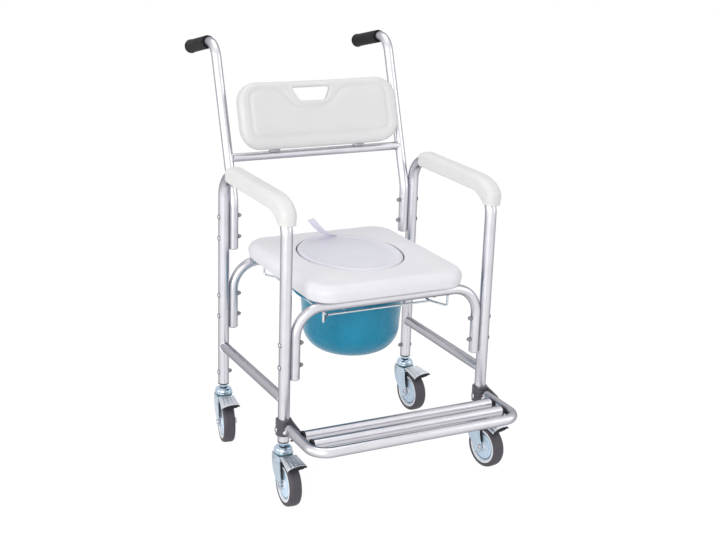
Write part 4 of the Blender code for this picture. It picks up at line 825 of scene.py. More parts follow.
def pad_rings(x):
    """Sections of an arm pad from its rear end, along the arm run and over the bend, to its nose."""
    rings = []
    for k in range(13):
        turn = math.radians(90 * k / 12)
        lost = 1 - math.sin(turn)
        y = PAD_REAR - PAD_END * (1 - math.cos(turn))
        rings.append(pad_section(x, (y, PAD_TOP - END_DROP * lost), (y, PAD_LOW + END_LIFT * lost ** 2),
                                 PAD_CORNER - END_CORNER * lost, PAD_HALF - END_TAPER * lost ** 2))
    for k in range(1, 12):
        y = (PAD_REAR - PAD_END) + (PAD_BEND_Y - PAD_REAR + PAD_END) * k / 12
        rings.append(pad_section(x, (y, PAD_TOP), (y, PAD_LOW), PAD_CORNER))
    for k in range(31):
        share = k / 30
        turn = math.radians(share * 90)
        high = (PAD_BEND_Y - PAD_BEND_R * math.sin(turn), PAD_TOP - PAD_FALL * (1 - math.cos(turn)))
        low = (PAD_BEND_Y + (NOSE_INNER_Y - PAD_BEND_Y) * share, PAD_LOW + (NOSE_Z - PAD_LOW) * share * share)
        rings.append(pad_section(x, high, low, PAD_CORNER + (NOSE_CORNER - PAD_CORNER) * share,
                                 PAD_HALF + (NOSE_HALF - PAD_HALF) * share))
    for k in range(1, 7):
        share = k / 6
        z = PAD_TOP - PAD_FALL - (PAD_TOP - PAD_FALL - NOSE_Z + TIP_DROP) * share
        low = (NOSE_INNER_Y, NOSE_Z - TIP_DROP * share)
        rings.append(pad_section(x, (NOSE_Y, z), low, NOSE_CORNER, NOSE_HALF))
    for k in range(1, 4):
        lost = 1 - math.cos(math.radians(30 * k))
        z = NOSE_Z - TIP_DROP - TIP_STEP * k
        rings.append(pad_section(x, (NOSE_Y + TIP_IN * lost, z), (NOSE_INNER_Y - TIP_IN * lost, z),
                                 NOSE_CORNER - 0.001 * (1 + lost), NOSE_HALF - TIP_IN * lost))
    return rings


def arm_pads():
    """Moulded pads over the arm runs and the front bends."""
    for name, side in SIDES.items():
        shape = Shape()
        shape.skin(pad_rings(side * LEG_X))
        thing = piece(f"arm_rest_{name}", shape.mesh(50), PAD, replaces=[f"armpad_{name}"])


SEAT_HALF, SEAT_FRONT, SEAT_REAR = BOW_X - THIN_R - 0.0225, 0.203, 0.211
SEAT_HEIGHT = SEAT_TOP - SEAT_BOTTOM
SEAT_CORNER, SEAT_SHOULDER, SEAT_CROWN = 0.055, 0.020, 0.0015
SEAT_SIDE = mm((-6.0, 0), (-4.2, 0.6), (-2.8, 2.0), (-2.1, 4.5), (-1.2, 9.5), (-0.4, 14.0))  # out, up
LEDGE_Z = LID_TOP - 0.0205 - GAP
LEDGE_WIDTH, LEDGE_ROUND = 0.0155, 0.002
RECESS_X, RECESS_Y = LID_X + 0.0038, LID_Y + 0.0007
RIM = 0.0022
SEAT_SWELL, LID_SWELL, SWELL_SIZE = 0.0009, 0.0006, 0.045


def soft(point, amount):
    """A small unevenness of padding at a place."""
    return amount * mathutils.noise.noise(Vector(point) / SWELL_SIZE)


def oval(half_x, half_y, angle, z):
    """A point on an oval about the lid's middle."""
    return Vector((LID_ASIDE + half_x * math.cos(angle), LID_MIDDLE + half_y * math.sin(angle), z))


def seat():
    """The padded seat, with a crown, drawn-in sides and the recess for its lid."""
    outer = []
    shoulder = arc((-SEAT_SHOULDER, SEAT_HEIGHT - SEAT_SHOULDER), SEAT_SHOULDER, 0, 90, 14)
    for grow, rise in SEAT_SIDE + shoulder:
        outline = rounded_outline(SEAT_HALF + grow, -SEAT_FRONT - grow, SEAT_REAR + grow, SEAT_CORNER + grow,
                                  14, 16)
        outer.append([Vector((x, y, SEAT_BOTTOM + rise)) for x, y in outline])
    angles = [math.atan2((point.y - LID_MIDDLE) / LID_Y, (point.x - LID_ASIDE) / LID_X) for point in outer[2]]
    quarter = numpy.radians(range(0, 91, 15))
    recess = [(RIM * math.sin(a), SEAT_TOP - RIM * (1 - math.cos(a))) for a in quarter]
    recess += [(0, LEDGE_Z + 0.003), (-0.001, LEDGE_Z), (LEDGE_ROUND - LEDGE_WIDTH, LEDGE_Z),
               (-LEDGE_WIDTH, LEDGE_Z - LEDGE_ROUND), (-LEDGE_WIDTH, SEAT_BOTTOM + LEDGE_ROUND),
               (LEDGE_ROUND - LEDGE_WIDTH, SEAT_BOTTOM)]
    inner = [[oval(RECESS_X + grow, RECESS_Y + grow, angle, z) for angle in angles] for grow, z in recess]
    top = []
    for k in range(1, 12):
        share = k / 12
        ring = [edge.lerp(hole, share) for edge, hole in zip(outer[-1], inner[0])]
        for point in ring:
            point.z = SEAT_TOP + SEAT_CROWN * math.sin(math.pi * share)
        top.append(ring)
    rings = []
    for ring in outer + top + inner:
        moved = []
        for point in ring:
            swell = soft(point, SEAT_SWELL) * max(0.0, (point.z - SEAT_BOTTOM) / SEAT_HEIGHT)
            moved.append(at(point.x, point.y, point.z + swell))
        rings.append(moved)
    shape = Shape()
    shape.skin(rings, looped=True)
    thing = piece("seat_pad", shape.mesh(50), VINYL, replaces=["seat_cushion"])


LID_BOTTOM, PLUG_BOTTOM, PLUG_PLAY = LEDGE_Z + GAP, LEDGE_Z - 0.010, 0.002
LID_SIDES = 128
# How far in from the lid's edge, and how far up from LID_TOP
LID_RISE = mm((6.5, 1.5), (8.3, 1.4), (10.3, 0.9), (12.6, 0.1), (15, -0.8), (18, -1.5), (22, -1.8),
              (28, -1.8), (34, -1.5), (42, -1.0), (55, -0.4), (70, -0.1), (85, 0), (100, 0), (110, 0))


def lid():
    """The padded oval lid with a soft raised rim, and the ribbon tab to lift it by."""
    plug = mm((30, 0), (4, 0), (1, 1), (0, 4), up=PLUG_BOTTOM) + [(0, LID_BOTTOM)]
    pad = mm((4, 0), (1, 1), (0, 4), up=LID_BOTTOM)
    edge, rise = LID_RISE[0]
    pad += [(-x, z) for x, z in arc((-edge, LID_TOP + rise - edge), edge, 0, 90, 9)]
    pad += [(inset, LID_TOP + rise) for inset, rise in LID_RISE[1:]]
    clear = LEDGE_WIDTH + PLUG_PLAY
    rows = [(RECESS_X - clear - inset, RECESS_Y - clear - inset, z) for inset, z in plug]
    rows += [(LID_X - inset, LID_Y - inset, z) for inset, z in pad]
    rings = []
    for half_x, half_y, z in rows:
        ring = []
        for i in range(LID_SIDES):
            point = oval(half_x, half_y, math.tau * i / LID_SIDES, z)
            if z > LID_BOTTOM + 0.006:
                point.z += soft(point, LID_SWELL)
            ring.append(at(*point))
        rings.append(ring)
    shape = Shape()
    shape.skin(rings)
    thing = piece("lid_pad", shape.mesh(50), LID, body="lid", replaces=["seat_lid"])
    strap()


STRAP_KNOTS = ((0.022, 0.004, 0.0), (0.007, 0.008, 0.0035), (-0.014, 0.014, 0.0135), (-0.034, 0.021, 0.031),
               (-0.053, 0.027, 0.0515))  # towards the sitter's left, forward of the rim and up
STRAP_WIDTH, STRAP_THICKNESS = 0.017, 0.0012
STRAP_ACROSS = Vector((1.0, -0.5, 0.0)).normalized()


def strap():
    """The woven tab that is sewn to the lid's rear rim and stands up from it."""
    lie, rear = LID_TOP + 0.0012, LID_MIDDLE + LID_Y - 0.0083
    path = curve_path([at(left, rear - forward, lie + up) for left, forward, up in STRAP_KNOTS], 10)
    half, thick = STRAP_WIDTH / 2, STRAP_THICKNESS / 2
    shares = [-1 + k / 6 for k in range(13)]
    rings = []
    for i, point in enumerate(path):
        along = (path[min(i + 1, len(path) - 1)] - path[max(i - 1, 0)]).normalized()
        side = (STRAP_ACROSS - along * STRAP_ACROSS.dot(along)).normalized()
        up = along.cross(side).normalized()
        ring = []
        for face, row in ((1, shares), (-1, shares[::-1])):
            ring += [point + side * half * u + up * face * (thick - 0.0002 * abs(u) ** 6) for u in row]
            ring.append(point + side * face * (half + EASE))
        rings.append(ring)
    shape = Shape()
    shape.skin(rings)
    thing = piece("lift_ribbon", shape.mesh(50), RIBBON, body="lid", replaces=["lid_strap"])


def rails():
    """The wire rails and the stop wire that the pail hangs in."""
    wires, beads = Shape(), Shape()
    top = BOW_RUN - THIN_R
    for side, front_x in FRONT_HANGERS.items():
        knots = ((front_x, -LEG_Y, top), (front_x, -LEG_Y, RAIL_Z), (RAIL_X, STOP_Y, RAIL_Z),
                 (RAIL_X, RAIL_REAR, RAIL_Z), (REAR_HANGER, LEG_Y, RAIL_Z), (REAR_HANGER, LEG_Y, top))
        path = bent_path([at(side * x, y, z) for x, y, z in knots], [0.006, 0.012, 0.012, 0.006], 8)
        wires.skin(sweep(path, circle(WIRE_R, 14), (1, 0.2, 0)))
        for x, y in ((front_x, -LEG_Y), (REAR_HANGER, LEG_Y)):
            beads.turn(mm((2.8, -2.2), (3.8, -0.8), (4.6, 0.6)), 20, toward(at(side * x, y, top), (0, 0, 1)))
        beads.turn(mm((0.8, -4.0), (2.6, -2.5), (3.2, 0), (2.6, 2.5), (0.8, 4.0)), 16,
                   toward(at(side * RAIL_X, STOP_Y, RAIL_Z), (1, 0, 0)))
    wires.skin(sweep(crosswise(RAIL_X + 0.001, STOP_Y, RAIL_Z), circle(WIRE_R, 14), (0, 0, 1)))
    piece("rail_wires", wires.mesh(), WIRE, replaces=["pail_rails"])
    piece("rail_welds", beads.mesh(), BEAD)


def pail():
    """The moulded pail: a rolled flange, a short rim, a waist and a rounded foot."""
    flange = RAIL_Z + WIRE_R + GAP
    bottom = flange - PAIL_DEPTH
    centre = (0.1105 - PAIL_FOOT_R, bottom + PAIL_FOOT_R)
    outer = mm((0.4, 1.2), (30, 1.0), (44, 0.8), (47.5, 0), up=bottom) + arc(centre, PAIL_FOOT_R, -90, 0, 18)
    outer += mm((111.2, -75), (112.4, -60), (114, -40), (115.8, -22), (118.2, -8), (120.6, -0.4), (121.5, 0),
                (132.5, 0), (133.6, -1.4), (134.5, -1.2), (135, 0), (135, 1.2), (134.3, 2.2), (133, 2.6),
                (125.5, 2.7), (124, 3.4), (123.5, 5), (123.5, 14), (123, 15.5), (122.2, 16), up=flange)
    inner = mm((121.4, 15.5), (121, 14), (120.6, 3), (119, -2), (116, -12), (113.3, -24), (111.5, -42),
               (109.2, -70), up=flange)
    inner += arc(centre, PAIL_FOOT_R - 0.0025, 0, -90, 18) + mm((40, 3.0), (0.4, 3.4), up=bottom)
    shape = Shape()
    shape.turn(outer + inner, 144, Matrix.Translation(at(0, PAIL_Y, 0)))
    piece("pail_bowl", shape.mesh(40), TEAL, body="pail", replaces=["pail"])


CAP_PROFILE = mm((-1.4, -12), (-1.4, 0.2), (0.2, 0.3), (0.5, 1.0), (0.5, 4.0), (0, 4.8), (-3.0, 5.2))


def footrest():
    """The swinging footrest: a U tube, two slats with end caps, and its clamps and pivots."""
    tube, plugs = Shape(), Shape()
    rear = PIVOT_Y + 0.011
    corners = [at(-LEG_X, rear, REST_Z), at(-LEG_X, REST_FRONT, REST_Z), at(LEG_X, REST_FRONT, REST_Z),
               at(LEG_X, rear, REST_Z)]
    add_tube(tube, bent_path(corners, [REST_BEND_R] * 2), THIN_R, (0, 0, 1))
    for x in (-LEG_X, LEG_X):
        add_plug(plugs, at(x, rear, REST_Z), (0, 1, 0))
    piece("footrest_tube", tube.mesh(), ALLOY, body="footrest", replaces=["footrest_frame"])
    piece("footrest_plugs", plugs.mesh(), BLACK, body="footrest")
    half = LEG_X - THIN_R * FLATS - GAP - SLAT_CAP - GAP
    for name, y in SLATS.items():
        slat = Shape()
        add_tube(slat, crosswise(half, y, REST_Z), THIN_R, (0, 0, 1))
        piece(f"slat_tube_{name}", slat.mesh(), ALLOY, body="footrest", replaces=[f"footrest_slat_{name}"])
        for side_name, side in SIDES.items():
            cap = Shape()
            profile = [(THIN_R + out, along) for out, along in CAP_PROFILE]
            cap.turn(profile, 36, toward(at(side * half, y, REST_Z), (side, 0, 0)))
            piece(f"slat_end_{name}_{side_name}", cap.mesh(), BLACK, body="footrest",
                  replaces=[f"slat_cap_{name}_{side_name}"])
    for name, side in SIDES.items():
        clamp(name, side)


COLLAR_LOW, COLLAR_HIGH, COLLAR_GROOVES = -0.022, 0.014, (-0.016, -0.0085, -0.0005, 0.0075)
CHEEK = ((0.0, 0.013), (0.0, -0.021), (0.022, -0.018), (0.0545, -0.0155), (0.0575, -0.012), (0.0575, 0.002),
         (0.0535, 0.006), (0.011, 0.013))
CHEEK_RIB = ((0.012, 0.008), (0.012, -0.014), (0.030, -0.012), (0.032, 0.004))
LUG = ((0.0165, -0.018), (0.0165, 0.010), (-0.010, 0.010), (-0.010, -0.018))  # forward and up, like the cheek
PIVOT_BOLT_R = 0.003


def clamp(name, side):
    """A split collar round the front leg and the cheek that the footrest turns on."""
    x, y = side * LEG_X, -LEG_Y
    low, high = REST_Z + COLLAR_LOW, REST_Z + COLLAR_HIGH
    layout = Matrix.Translation((0, SHIFT, 0))
    profile = [(LEG_R + 0.0001, low), (CLAMP_R - 0.0014, low), (CLAMP_R - 0.0004, low + 0.0006),
               (CLAMP_R, low + 0.0018)]
    for middle in COLLAR_GROOVES:
        profile += [(CLAMP_R - depth, REST_Z + middle + up)
                    for depth, up in mm((0, -2.2), (0.9, -1.2), (0.9, 1.2), (0, 2.2))]
    profile += [(CLAMP_R, high - 0.0018), (CLAMP_R - 0.0004, high - 0.0006), (CLAMP_R - 0.0014, high),
                (LEG_R + 0.0001, high)]
    shape = Shape()
    shape.turn(profile, 48, Matrix.Translation(at(x, y, 0)), looped=True)
    near = x + THIN_R * FLATS + GAP
    far = near + CHEEK_SHEET
    cheek, rib, lug = ([(y - forward, REST_Z + up) for forward, up in points]
                       for points in (CHEEK, CHEEK_RIB, LUG))
    shape.slab(eased(cheek, 0.005, 4), near, far, 0.0008, layout)
    shape.slab(eased(rib, 0.003, 3), far - 0.0010, far + 0.0009, 0.0005, layout)
    tip, under = PIVOT_Y - 0.017 + GAP, REST_Z - THIN_R - 0.0002
    stop = [(tip, under - 0.003), (tip + 0.004, under - 0.003), (tip + 0.004, under), (tip, under)]
    shape.slab(stop, x - 0.008, far - 0.001, 0.0004, layout)
    shape.slab(eased(lug, 0.006, 4), x + 0.0040, near + 0.001, 0.0008, layout)
    piece(f"footrest_bracket_{name}", shape.mesh(), CHARCOAL, replaces=[f"footrest_clamp_{name}"])
    bolt = Shape()
    inside, outside = at(x - THIN_R, PIVOT_Y, REST_Z), at(far, PIVOT_Y, REST_Z)
    add_bolt_head(bolt, at(far + GAP, PIVOT_Y, REST_Z), (1, 0, 0))
    add_cap_nut(bolt, inside, (-1, 0, 0))
    bolt.skin(sweep([inside, outside], circle(PIVOT_BOLT_R, 16), (0, 0, 1)))
    piece(f"pivot_bolt_{name}", bolt.mesh(30), STEEL, replaces=[f"footrest_pivot_bolt_{name}"])


TYRE_HALF = 0.0135
FORK_IN, FORK_OUT = 0.0170, 0.0195
FORK_BEND, FORK_EASE, CROWN_SHEET, CROWN_SKIRT = 0.0045, 0.0006, 0.003, 0.012
CROWN_FRONT, CROWN_BACK, CROWN_FLARE = 0.027, 0.017, 0.004
FORK_FOOT_R, FORK_FOOT_HALF, FORK_FOOT_Y = 0.014, 0.0155, 0.0262  # the cheek's round lower end
TAPER_BACK, TAPER_FRONT = (0.0277, 2.6), (0.0107, 1.6)  # how far its edges draw in, and by what power
LEAF_X, LEAF_HALF = 0.0158, 0.0006
AXLE_R, WEB_IN, SPOKES = 0.0039, 0.0045, 5
HEADINGS = {"front_right": -3, "front_left": 8, "rear_right": -10.3, "rear_left": 4}  # degrees
SOCKET_TOP, SOCKET_FOOT, SOCKET_FLANGE = 0.171, LEG_BOTTOM - GAP, 0.0024
PEDAL_SLOPE = math.radians(15)
PEDAL_FRONT = 0.079
PEDAL_ASIDE, PEDAL_BEHIND, PEDAL_RISE = 0.0015, 0.0015, 0.0045
PEDAL_HALF, PEDAL_FLARE = 0.0185, 0.0030  # half its width at the crown, and what it gains to the front
PEDAL_SHEET, PEDAL_RIB, PEDAL_RIBS = 0.0013, 0.00035, 5.5
PEDAL_PAD, PEDAL_PAD_DROP, PEDAL_PAD_PAST, PEDAL_PAD_DEEP = 0.0012, -0.0014, -0.0004, 0.0075
ARM_HALF = 0.0009
PIN = Vector((0, -0.020, CROWN - 0.0063))
PIN_R = 0.0019


def fork_edges(z):
    """A cheek's rear and front edges at a height."""
    if z <= WHEEL_R:
        half = FORK_FOOT_HALF * math.sqrt(max(0.0, 1 - ((WHEEL_R - z) / FORK_FOOT_R) ** 2))
        return half - FORK_FOOT_Y, -half - FORK_FOOT_Y
    low, high = WHEEL_R, CROWN - CROWN_SKIRT
    if z >= high:
        return CROWN_BACK, -CROWN_FRONT - CROWN_FLARE * (CROWN - z) / (CROWN - high)
    fall = (high - z) / (high - low)
    (back, back_power), (front, front_power) = TAPER_BACK, TAPER_FRONT
    return CROWN_BACK - back * fall ** back_power, -CROWN_FRONT - CROWN_FLARE - front * fall ** front_power


def fork_rings():
    """Sections of the folded sheet from one cheek's foot, over the crown, to the other's."""
    heights = [WHEEL_R - FORK_FOOT_R * math.cos(math.radians(a)) for a in range(0, 90, 9)]
    heights += [WHEEL_R + (CROWN - FORK_BEND - WHEEL_R) * k / 26 for k in range(27)]
    stations = [((-FORK_OUT, z), (-FORK_IN, z), z) for z in heights]
    middle = FORK_BEND - FORK_OUT
    for a in range(15, 90, 15):
        c, s = math.cos(math.radians(a)), math.sin(math.radians(a))
        stations.append(((middle - FORK_BEND * c, CROWN - FORK_BEND + FORK_BEND * s),
                         (middle - 0.002 * c, CROWN - FORK_BEND + 0.0018 * s), CROWN))
    for k in range(7):
        x = middle * (1 - k / 6)
        stations.append(((x, CROWN), (x, CROWN - CROWN_SHEET), CROWN))
    mirrored = [((-o[0], o[1]), (-i[0], i[1]), z) for o, i, z in reversed(stations[:-1])]
    rings = []
    for outer, inner, z in stations + mirrored:
        back, front = fork_edges(z)
        back = max(back, front + 0.0012)
        outer, inner = Vector((outer[0], 0, outer[1])), Vector((inner[0], 0, inner[1]))
        side = [(outer.lerp(inner, share), ease)
                for share, ease in ((0.0, FORK_EASE), (0.2, 0.0), (0.8, 0.0), (1.0, FORK_EASE))]
        ring = [Vector((point.x, back - ease, point.z)) for point, ease in side]
        rings.append(ring + [Vector((point.x, front + ease, point.z)) for point, ease in side[::-1]])
    return rings


def pedal_height(y):
    """The pedal plate's top at a distance in front of the stem."""
    return CROWN + PEDAL_RISE + (y + CROWN_FRONT) * math.tan(PEDAL_SLOPE)


def beyond(value, start, end):
    """How far a value has gone from a start to an end, and nought before it."""
    return max(0.0, (value - start) / (end - start))


def pedal_rings(lift, thickness, shrink, wave, deep=0.0):
    """Sections of the pedal's plate from its rear edge to its front edge; deep thickens the front."""
    rings = []
    steps, across = 22, 40
    for k in range(steps + 1):
        share = k / steps
        half = PEDAL_HALF + PEDAL_FLARE * share ** 1.5 - shrink
        ring = []
        lower = []
        for j in range(across + 1):
            u = -1 + 2 * j / across
            reach = PEDAL_FRONT - shrink - 0.0030 * (1 - abs(u) ** 2.2) + 0.002 * beyond(u, 0.8, 1) * share
            y = -CROWN_FRONT - PEDAL_BEHIND - (reach - CROWN_FRONT - PEDAL_BEHIND) * share
            rib = wave * math.sin(u * PEDAL_RIBS * math.pi) * min(1, share * 5)
            edge = 0.0008 * beyond(abs(u), 0.9, 1) ** 2 + 0.0010 * beyond(share, 0.93, 1) ** 2
            edge += 0.0032 * beyond(-u, 0.86, 1) ** 1.5
            rise = (0.0085 + 0.0036 * u + 0.0016 * (1 - u * u)) * share
            ring.append(Vector((PEDAL_ASIDE + u * half, y, pedal_height(y) + lift + rib - edge + rise)))
            body = deep * share ** 2 * max(0.0, 1 - abs(u - 0.12) ** 3 / 0.75)
            lower.append(ring[-1] - Vector((0, 0, thickness + body)))
        rings.append(ring + lower[::-1])
    return rings


def caster(corner, x, y):
    """A braked swivel caster in its leg's foot."""
    fixed = Matrix.Translation(at(x, y, 0))
    swivel = fixed @ Matrix.Rotation(math.radians(HEADINGS[corner]), 4, "Z")
    socket, stem, seal, fork, axle, leaf = (Shape() for _ in range(6))
    bore = LEG_R - WALL - 0.0004
    profile = [(bore, SOCKET_TOP), (bore, SOCKET_FOOT), (LEG_R - 0.0002, SOCKET_FOOT),
               (LEG_R, SOCKET_FOOT - 0.0005), (LEG_R, SOCKET_FOOT - 0.0018),
               (LEG_R - 0.0008, SOCKET_FOOT - SOCKET_FLANGE), (0.0054, SOCKET_FOOT - SOCKET_FLANGE)]
    socket.turn(profile, 40, fixed)
    piece(f"leg_socket_{corner}", socket.mesh(), BLACK, replaces=[f"caster_socket_{corner}"])

    profile = mm((0.6, -5.7), (5.0, -5.5), (7.0, -4.7), (7.5, -3.3), (5.0, -3.3), (5.0, 0.3), (20.0, 0.3),
                 (20.5, 1.0), (20.5, 4.0), (20.1, 5.2), up=CROWN)
    profile += arc((0.0095, CROWN + 0.0068), 0.0108, -8, 66, 10)
    profile += mm((11.8, 17.6), (9.8, 18.3), (5.6, 18.4), (5.0, 18.6), up=CROWN)
    profile.append((0.0050, SOCKET_FOOT + 0.015))
    stem.turn(profile, 56, fixed)
    stem.turn(mm((9.0, 18.6), (10.0, 19.4), (10.0, 23.6), (9.0, 24.4), (5.2, 24.5), up=CROWN), 6, fixed, 0.3)
    piece(f"stem_dome_{corner}", stem.mesh(30), ZINC, replaces=[f"caster_stem_{corner}"])
    profile = mm((19.9, 0.2), (20.9, 0.2), (21.3, 1.0), (21.2, 2.6), (20.6, 3.4), (19.9, 3.4), up=CROWN)
    seal.turn(profile, 48, fixed, looped=True)
    piece(f"swivel_seal_{corner}", seal.mesh(), SEAL)

    body = f"swivel_{corner}"
    fork.skin(fork_rings(), place=swivel)
    piece(f"fork_sheet_{corner}", fork.mesh(40), ZINC, body=body, replaces=[f"caster_fork_{corner}"])
    centre = Vector((0, -TRAIL, WHEEL_R))
    reach = FORK_OUT + 0.0002
    ends = [swivel @ toward(centre + Vector((way * reach, 0, 0)), (way, 0, 0)) for way in (-1, 1)]
    axle.turn(mm((5.6, 0), (5.8, 0.6), (5.4, 1.8), (4.2, 2.7), (2.2, 3.1), (0.4, 3.2)), 32, ends[0])
    axle.turn(mm((8.4, 0), (8.4, 0.8), (7.2, 0.9)), 32, ends[1])
    axle.turn(mm((7.2, 0.8), (7.6, 1.2), (7.6, 3.6), (6.6, 4.1)), 6, ends[1])
    axle.turn([(AXLE_R, -FORK_OUT), (AXLE_R, FORK_OUT)], 20, swivel @ toward(centre, (1, 0, 0)))
    piece(f"axle_bolt_{corner}", axle.mesh(30), STEEL, body=body, replaces=[f"caster_axle_{corner}"])
    outline = eased(mm((-29, 93.5), (-35, 93.5), (-40, 64), (-37.5, 60), (-33, 64)), 0.002, 3)
    for middle in (-LEAF_X, LEAF_X):
        leaf.slab(outline, middle - LEAF_HALF, middle + LEAF_HALF, SHEET_EASE, swivel)
    piece(f"brake_leaf_{corner}", leaf.mesh(), BLACK, body=body)
    wheel(corner, swivel)
    pedal(corner, swivel)


def wheel(corner, swivel):
    """The wheel's white core, its light blue hub discs, a dark ring painted in as the shade of the recess
    inside the rim, and its tyre.
    """
    core, disc, recess_shade, tyre = Shape(), Shape(), Shape(), Shape()
    body = f"wheel_{corner}"
    hub = swivel @ Matrix.Translation((0, -TRAIL, WHEEL_R))
    faces = {way: hub @ Matrix.Rotation(way * math.pi / 2, 4, "Y") for way in (-1, 1)}
    half = mm((4.3, 0), (8.8, 0), (9.8, -0.8), (10.2, -4.4), (31.5, -4.6), (33.0, -4.0), (33.8, -1.6),
              (34.5, -0.6), (36.0, -0.2), (38.5, -0.2), (39.4, -0.8), up=TYRE_HALF)
    core.turn(half + mirrored_profile(half), 96, faces[1], looped=True)
    piece(f"wheel_core_{corner}", core.mesh(40), CORE, body=body, replaces=[f"caster_wheel_{corner}"])
    web = TYRE_HALF - WEB_IN
    disc_profile = mm((10.3, 0), (10.6, 2.2), (11.6, 2.6), (12.8, 2.0), (15.0, 1.0), (21.5, 0.8), (22.6, 1.4),
                      (23.6, 1.4), (24.8, 0.6), (27.6, 0.5), (28.4, 1.4), (29.0, 1.2), (29.4, 0), up=web)
    # painted shade: a thin dark ring where the recess inside the rim lies in shade
    shade_ring_profile = mm((29.2, 0), (29.6, 0.8), (31.8, 1.0), (32.4, 0), up=web)
    for face in faces.values():
        disc.turn(disc_profile, 96, face, looped=True)
        recess_shade.turn(shade_ring_profile, 96, face, looped=True)
        for k in range(SPOKES):
            turn = Matrix.Rotation(math.tau * k / SPOKES + 0.3, 4, "Z")
            spoke = []
            for r, w in mm((12.2, 2.6), (14.0, 2.1), (20.0, 1.8), (23.5, 2.6)):
                section = ((-w, 0.0004), (-w * 0.8, 0.0015), (w * 0.8, 0.0015), (w, 0.0004))
                spoke.append([turn @ Vector((r, aside, web + up)) for aside, up in section])
            disc.skin(spoke, place=face)
    piece(f"hub_disc_{corner}", disc.mesh(40), DISC, body=body)
    piece(f"hub_recess_shade_ring_{corner}", recess_shade.mesh(40), SHADOW_RING, body=body)
    half = mm((39.8, -0.4), (40.4, -0.1), (42.5, 0), (45.2, -0.3), (46.8, -1.3), (47.9, -2.9), (48.6, -5.2),
              (48.9, -8.0), up=TYRE_HALF) + [(WHEEL_R, 0.0010), (WHEEL_R - 0.0002, 0.0004)]
    tyre.turn(half + mirrored_profile(half), 96, faces[1], looped=True)
    piece(f"tyre_{corner}", tyre.mesh(40), RUBBER, body=body, replaces=[f"caster_tyre_{corner}"])


def mirrored_profile(half):
    """The other half of a profile that is alike on both sides, in reverse order."""
    return [(radius, -height) for radius, height in reversed(half)]


def pedal(corner, swivel):
    """The brake pedal: a ribbed steel plate on two arms, over a black pad."""
    steel, pad = Shape(), Shape()
    body = f"pedal_{corner}"
    steel.skin(pedal_rings(0.0, PEDAL_SHEET, 0.0, PEDAL_RIB), place=swivel)
    arm = [(PIN.y + 0.003, PIN.z - 0.001), (PIN.y + 0.002, PIN.z + 0.0025),
           (-CROWN_FRONT - 0.0018, CROWN - 0.0048), (-CROWN_FRONT - 0.003, CROWN + 0.0015),
           (-0.046, pedal_height(-0.046) - 0.0012),
           (-0.050, pedal_height(-0.050) - 0.0016), (-0.040, CROWN - 0.0042), (PIN.y, PIN.z - 0.003)]
    for way in (-1, 1):
        middle = way * (FORK_IN - 0.0014)
        steel.slab(arm, middle - ARM_HALF, middle + ARM_HALF, SHEET_EASE, swivel)
        head = Vector((way * (FORK_OUT + 0.0001), PIN.y, PIN.z))
        steel.turn(mm((0.3, 1.2), (1.8, 0.9), (2.6, 0), (2.6, -1.0)), 16, swivel @ toward(head, (way, 0, 0)))
    steel.turn([(PIN_R, -FORK_OUT), (PIN_R, FORK_OUT)], 14, swivel @ toward(PIN, (1, 0, 0)))
    piece(f"pedal_plate_{corner}", steel.mesh(40), TREAD, body=body, replaces=[f"brake_pedal_{corner}"])
    rings = pedal_rings(PEDAL_PAD_DROP, PEDAL_PAD, PEDAL_PAD_PAST, 0.00030, PEDAL_PAD_DEEP)
    pad.skin(rings, place=swivel)
    piece(f"pedal_pad_{corner}", pad.mesh(40), BLACK, body=body)


def casters():
    """Four casters, alike."""
    for end_name, end in ENDS.items():
        for side_name, side in SIDES.items():
            caster(f"{end_name}_{side_name}", side * LEG_X, end * LEG_Y)


# Stage, light and camera

FLOOR_REACH, FLOOR_GREY, FLOOR_GLOW, FLOOR_SHARE = 6.0, 0.80, 1.06, 0.90
AMBIENT, AMBIENT_COLOUR = 0.55, (0.93, 0.95, 1.0, 1)
LAMPS = {"key": ((-2.7, -2.7, 1.5), (0, 0, 0.45), 2.2, 74), "side": ((-3.2, 0.3, 1.0), (0, 0, 0.45), 1.8, 11),
         "fill": ((2.6, -1.8, 1.5), (0, 0, 0.45), 1.8, 14), "top": ((0.2, 0.6, 3.2), (0, 0, 0.4), 2.0, 23)}
EYE = Vector((-1.3001, -2.6009, 1.3337))
AZIMUTH, ELEVATION, ROLL = (math.radians(angle) for angle in (-27.254, 17.432, 1.929))
LENS, SENSOR = 66.72, 36  # millimetres


def background(tree, strength, dull, seen_shader):
    """One shader for what the camera, metal and glass see, and a dull one for the light itself."""
    path = tree.nodes.new("ShaderNodeLightPath")
    seen = path.outputs["Is Camera Ray"]
    for output in ("Is Glossy Ray", "Is Transmission Ray"):
        add = tree.nodes.new("ShaderNodeMath")
        add.operation = "MAXIMUM"
        tree.links.new(seen, add.inputs[0])
        tree.links.new(path.outputs[output], add.inputs[1])
        seen = add.outputs[0]
    mix = tree.nodes.new("ShaderNodeMixShader")
    share = tree.nodes.new("ShaderNodeMath")
    share.operation = "MULTIPLY"
    share.inputs[1].default_value = strength
    tree.links.new(seen, share.inputs[0])
    tree.links.new(share.outputs[0], mix.inputs[0])
    tree.links.new(dull, mix.inputs[1])
    tree.links.new(seen_shader, mix.inputs[2])
    return mix.outputs[0]


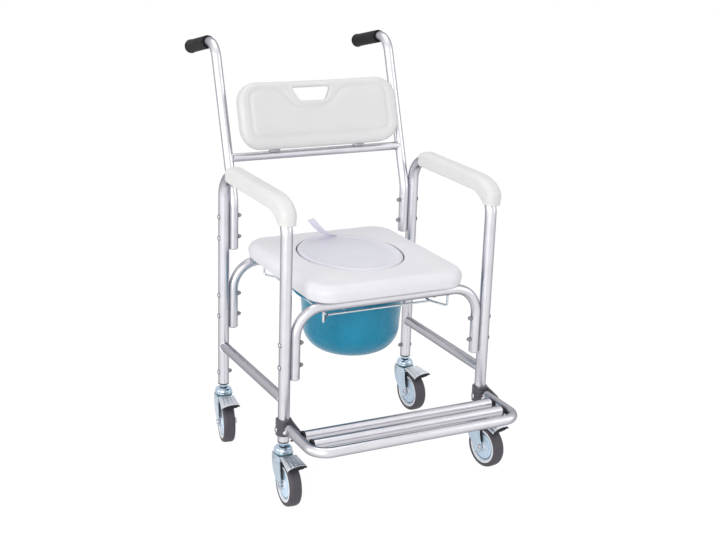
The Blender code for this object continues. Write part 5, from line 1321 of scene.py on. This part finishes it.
def floor():
    """A white floor that keeps the chair's shadow."""
    mesh = bpy.data.meshes.new("floor")
    corners = [(x * FLOOR_REACH, y * FLOOR_REACH, 0) for x, y in ((-1, -1), (1, -1), (1, 1), (-1, 1))]
    mesh.from_pydata(corners, [], [(0, 1, 2, 3)])
    thing = bpy.data.objects.new("floor", mesh)
    bpy.context.scene.collection.objects.link(thing)
    material = bpy.data.materials.new("floor_paint")
    material.use_nodes = True
    tree = material.node_tree
    shader = tree.nodes["Principled BSDF"]
    shader.inputs["Base Color"].default_value = (FLOOR_GREY, FLOOR_GREY, FLOOR_GREY, 1)
    shader.inputs["Roughness"].default_value = 0.9
    glow = tree.nodes.new("ShaderNodeEmission")
    glow.inputs["Strength"].default_value = FLOOR_GLOW
    mixed = background(tree, FLOOR_SHARE, shader.outputs[0], glow.outputs[0])
    tree.links.new(mixed, tree.nodes["Material Output"].inputs["Surface"])
    mesh.materials.append(material)


def surround():
    """A white surround that lights the chair softly."""
    world = bpy.data.worlds.new("surround")
    bpy.context.scene.world = world
    world.use_nodes = True
    tree = world.node_tree
    dull = tree.nodes["Background"]
    dull.inputs["Color"].default_value = AMBIENT_COLOUR
    dull.inputs["Strength"].default_value = AMBIENT
    white = tree.nodes.new("ShaderNodeBackground")
    white.inputs["Color"].default_value = (1, 1, 1, 1)
    mixed = background(tree, 1.0, dull.outputs[0], white.outputs[0])
    tree.links.new(mixed, tree.nodes["World Output"].inputs["Surface"])


def lamp(name, place, target, size, power):
    """A soft square lamp."""
    light = bpy.data.lights.new(name, "AREA")
    light.shape = "SQUARE"
    light.size = size
    light.energy = power
    thing = bpy.data.objects.new(name, light)
    bpy.context.scene.collection.objects.link(thing)
    thing.matrix_world = toward(place, Vector(place) - Vector(target))


def camera():
    """The photograph's viewpoint."""
    level = math.cos(ELEVATION)
    back = Vector((math.sin(AZIMUTH) * level, -math.cos(AZIMUTH) * level, math.sin(ELEVATION)))
    right = Vector((math.cos(AZIMUTH), math.sin(AZIMUTH), 0))
    up = back.cross(right)
    right, up = right * math.cos(ROLL) + up * math.sin(ROLL), up * math.cos(ROLL) - right * math.sin(ROLL)
    data = bpy.data.cameras.new("viewpoint")
    data.lens = LENS
    data.sensor_width = SENSOR
    thing = bpy.data.objects.new("viewpoint", data)
    rows = [(*row, value) for row, value in zip(zip(right, up, back), EYE)]
    thing.matrix_world = Matrix(rows + [(0, 0, 0, 1)])
    bpy.context.scene.collection.objects.link(thing)
    bpy.context.scene.camera = thing


camera()
floor()
surround()
for lamp_name, settings in LAMPS.items():
    lamp(lamp_name, *settings)
bpy.context.scene.view_settings.view_transform = "Standard"

side_frames()
leg_bolts()
seat_bows()
back_posts()
backrest()
backrest_clips()
arm_pads()
seat()
lid()
rails()
pail()
footrest()
casters()
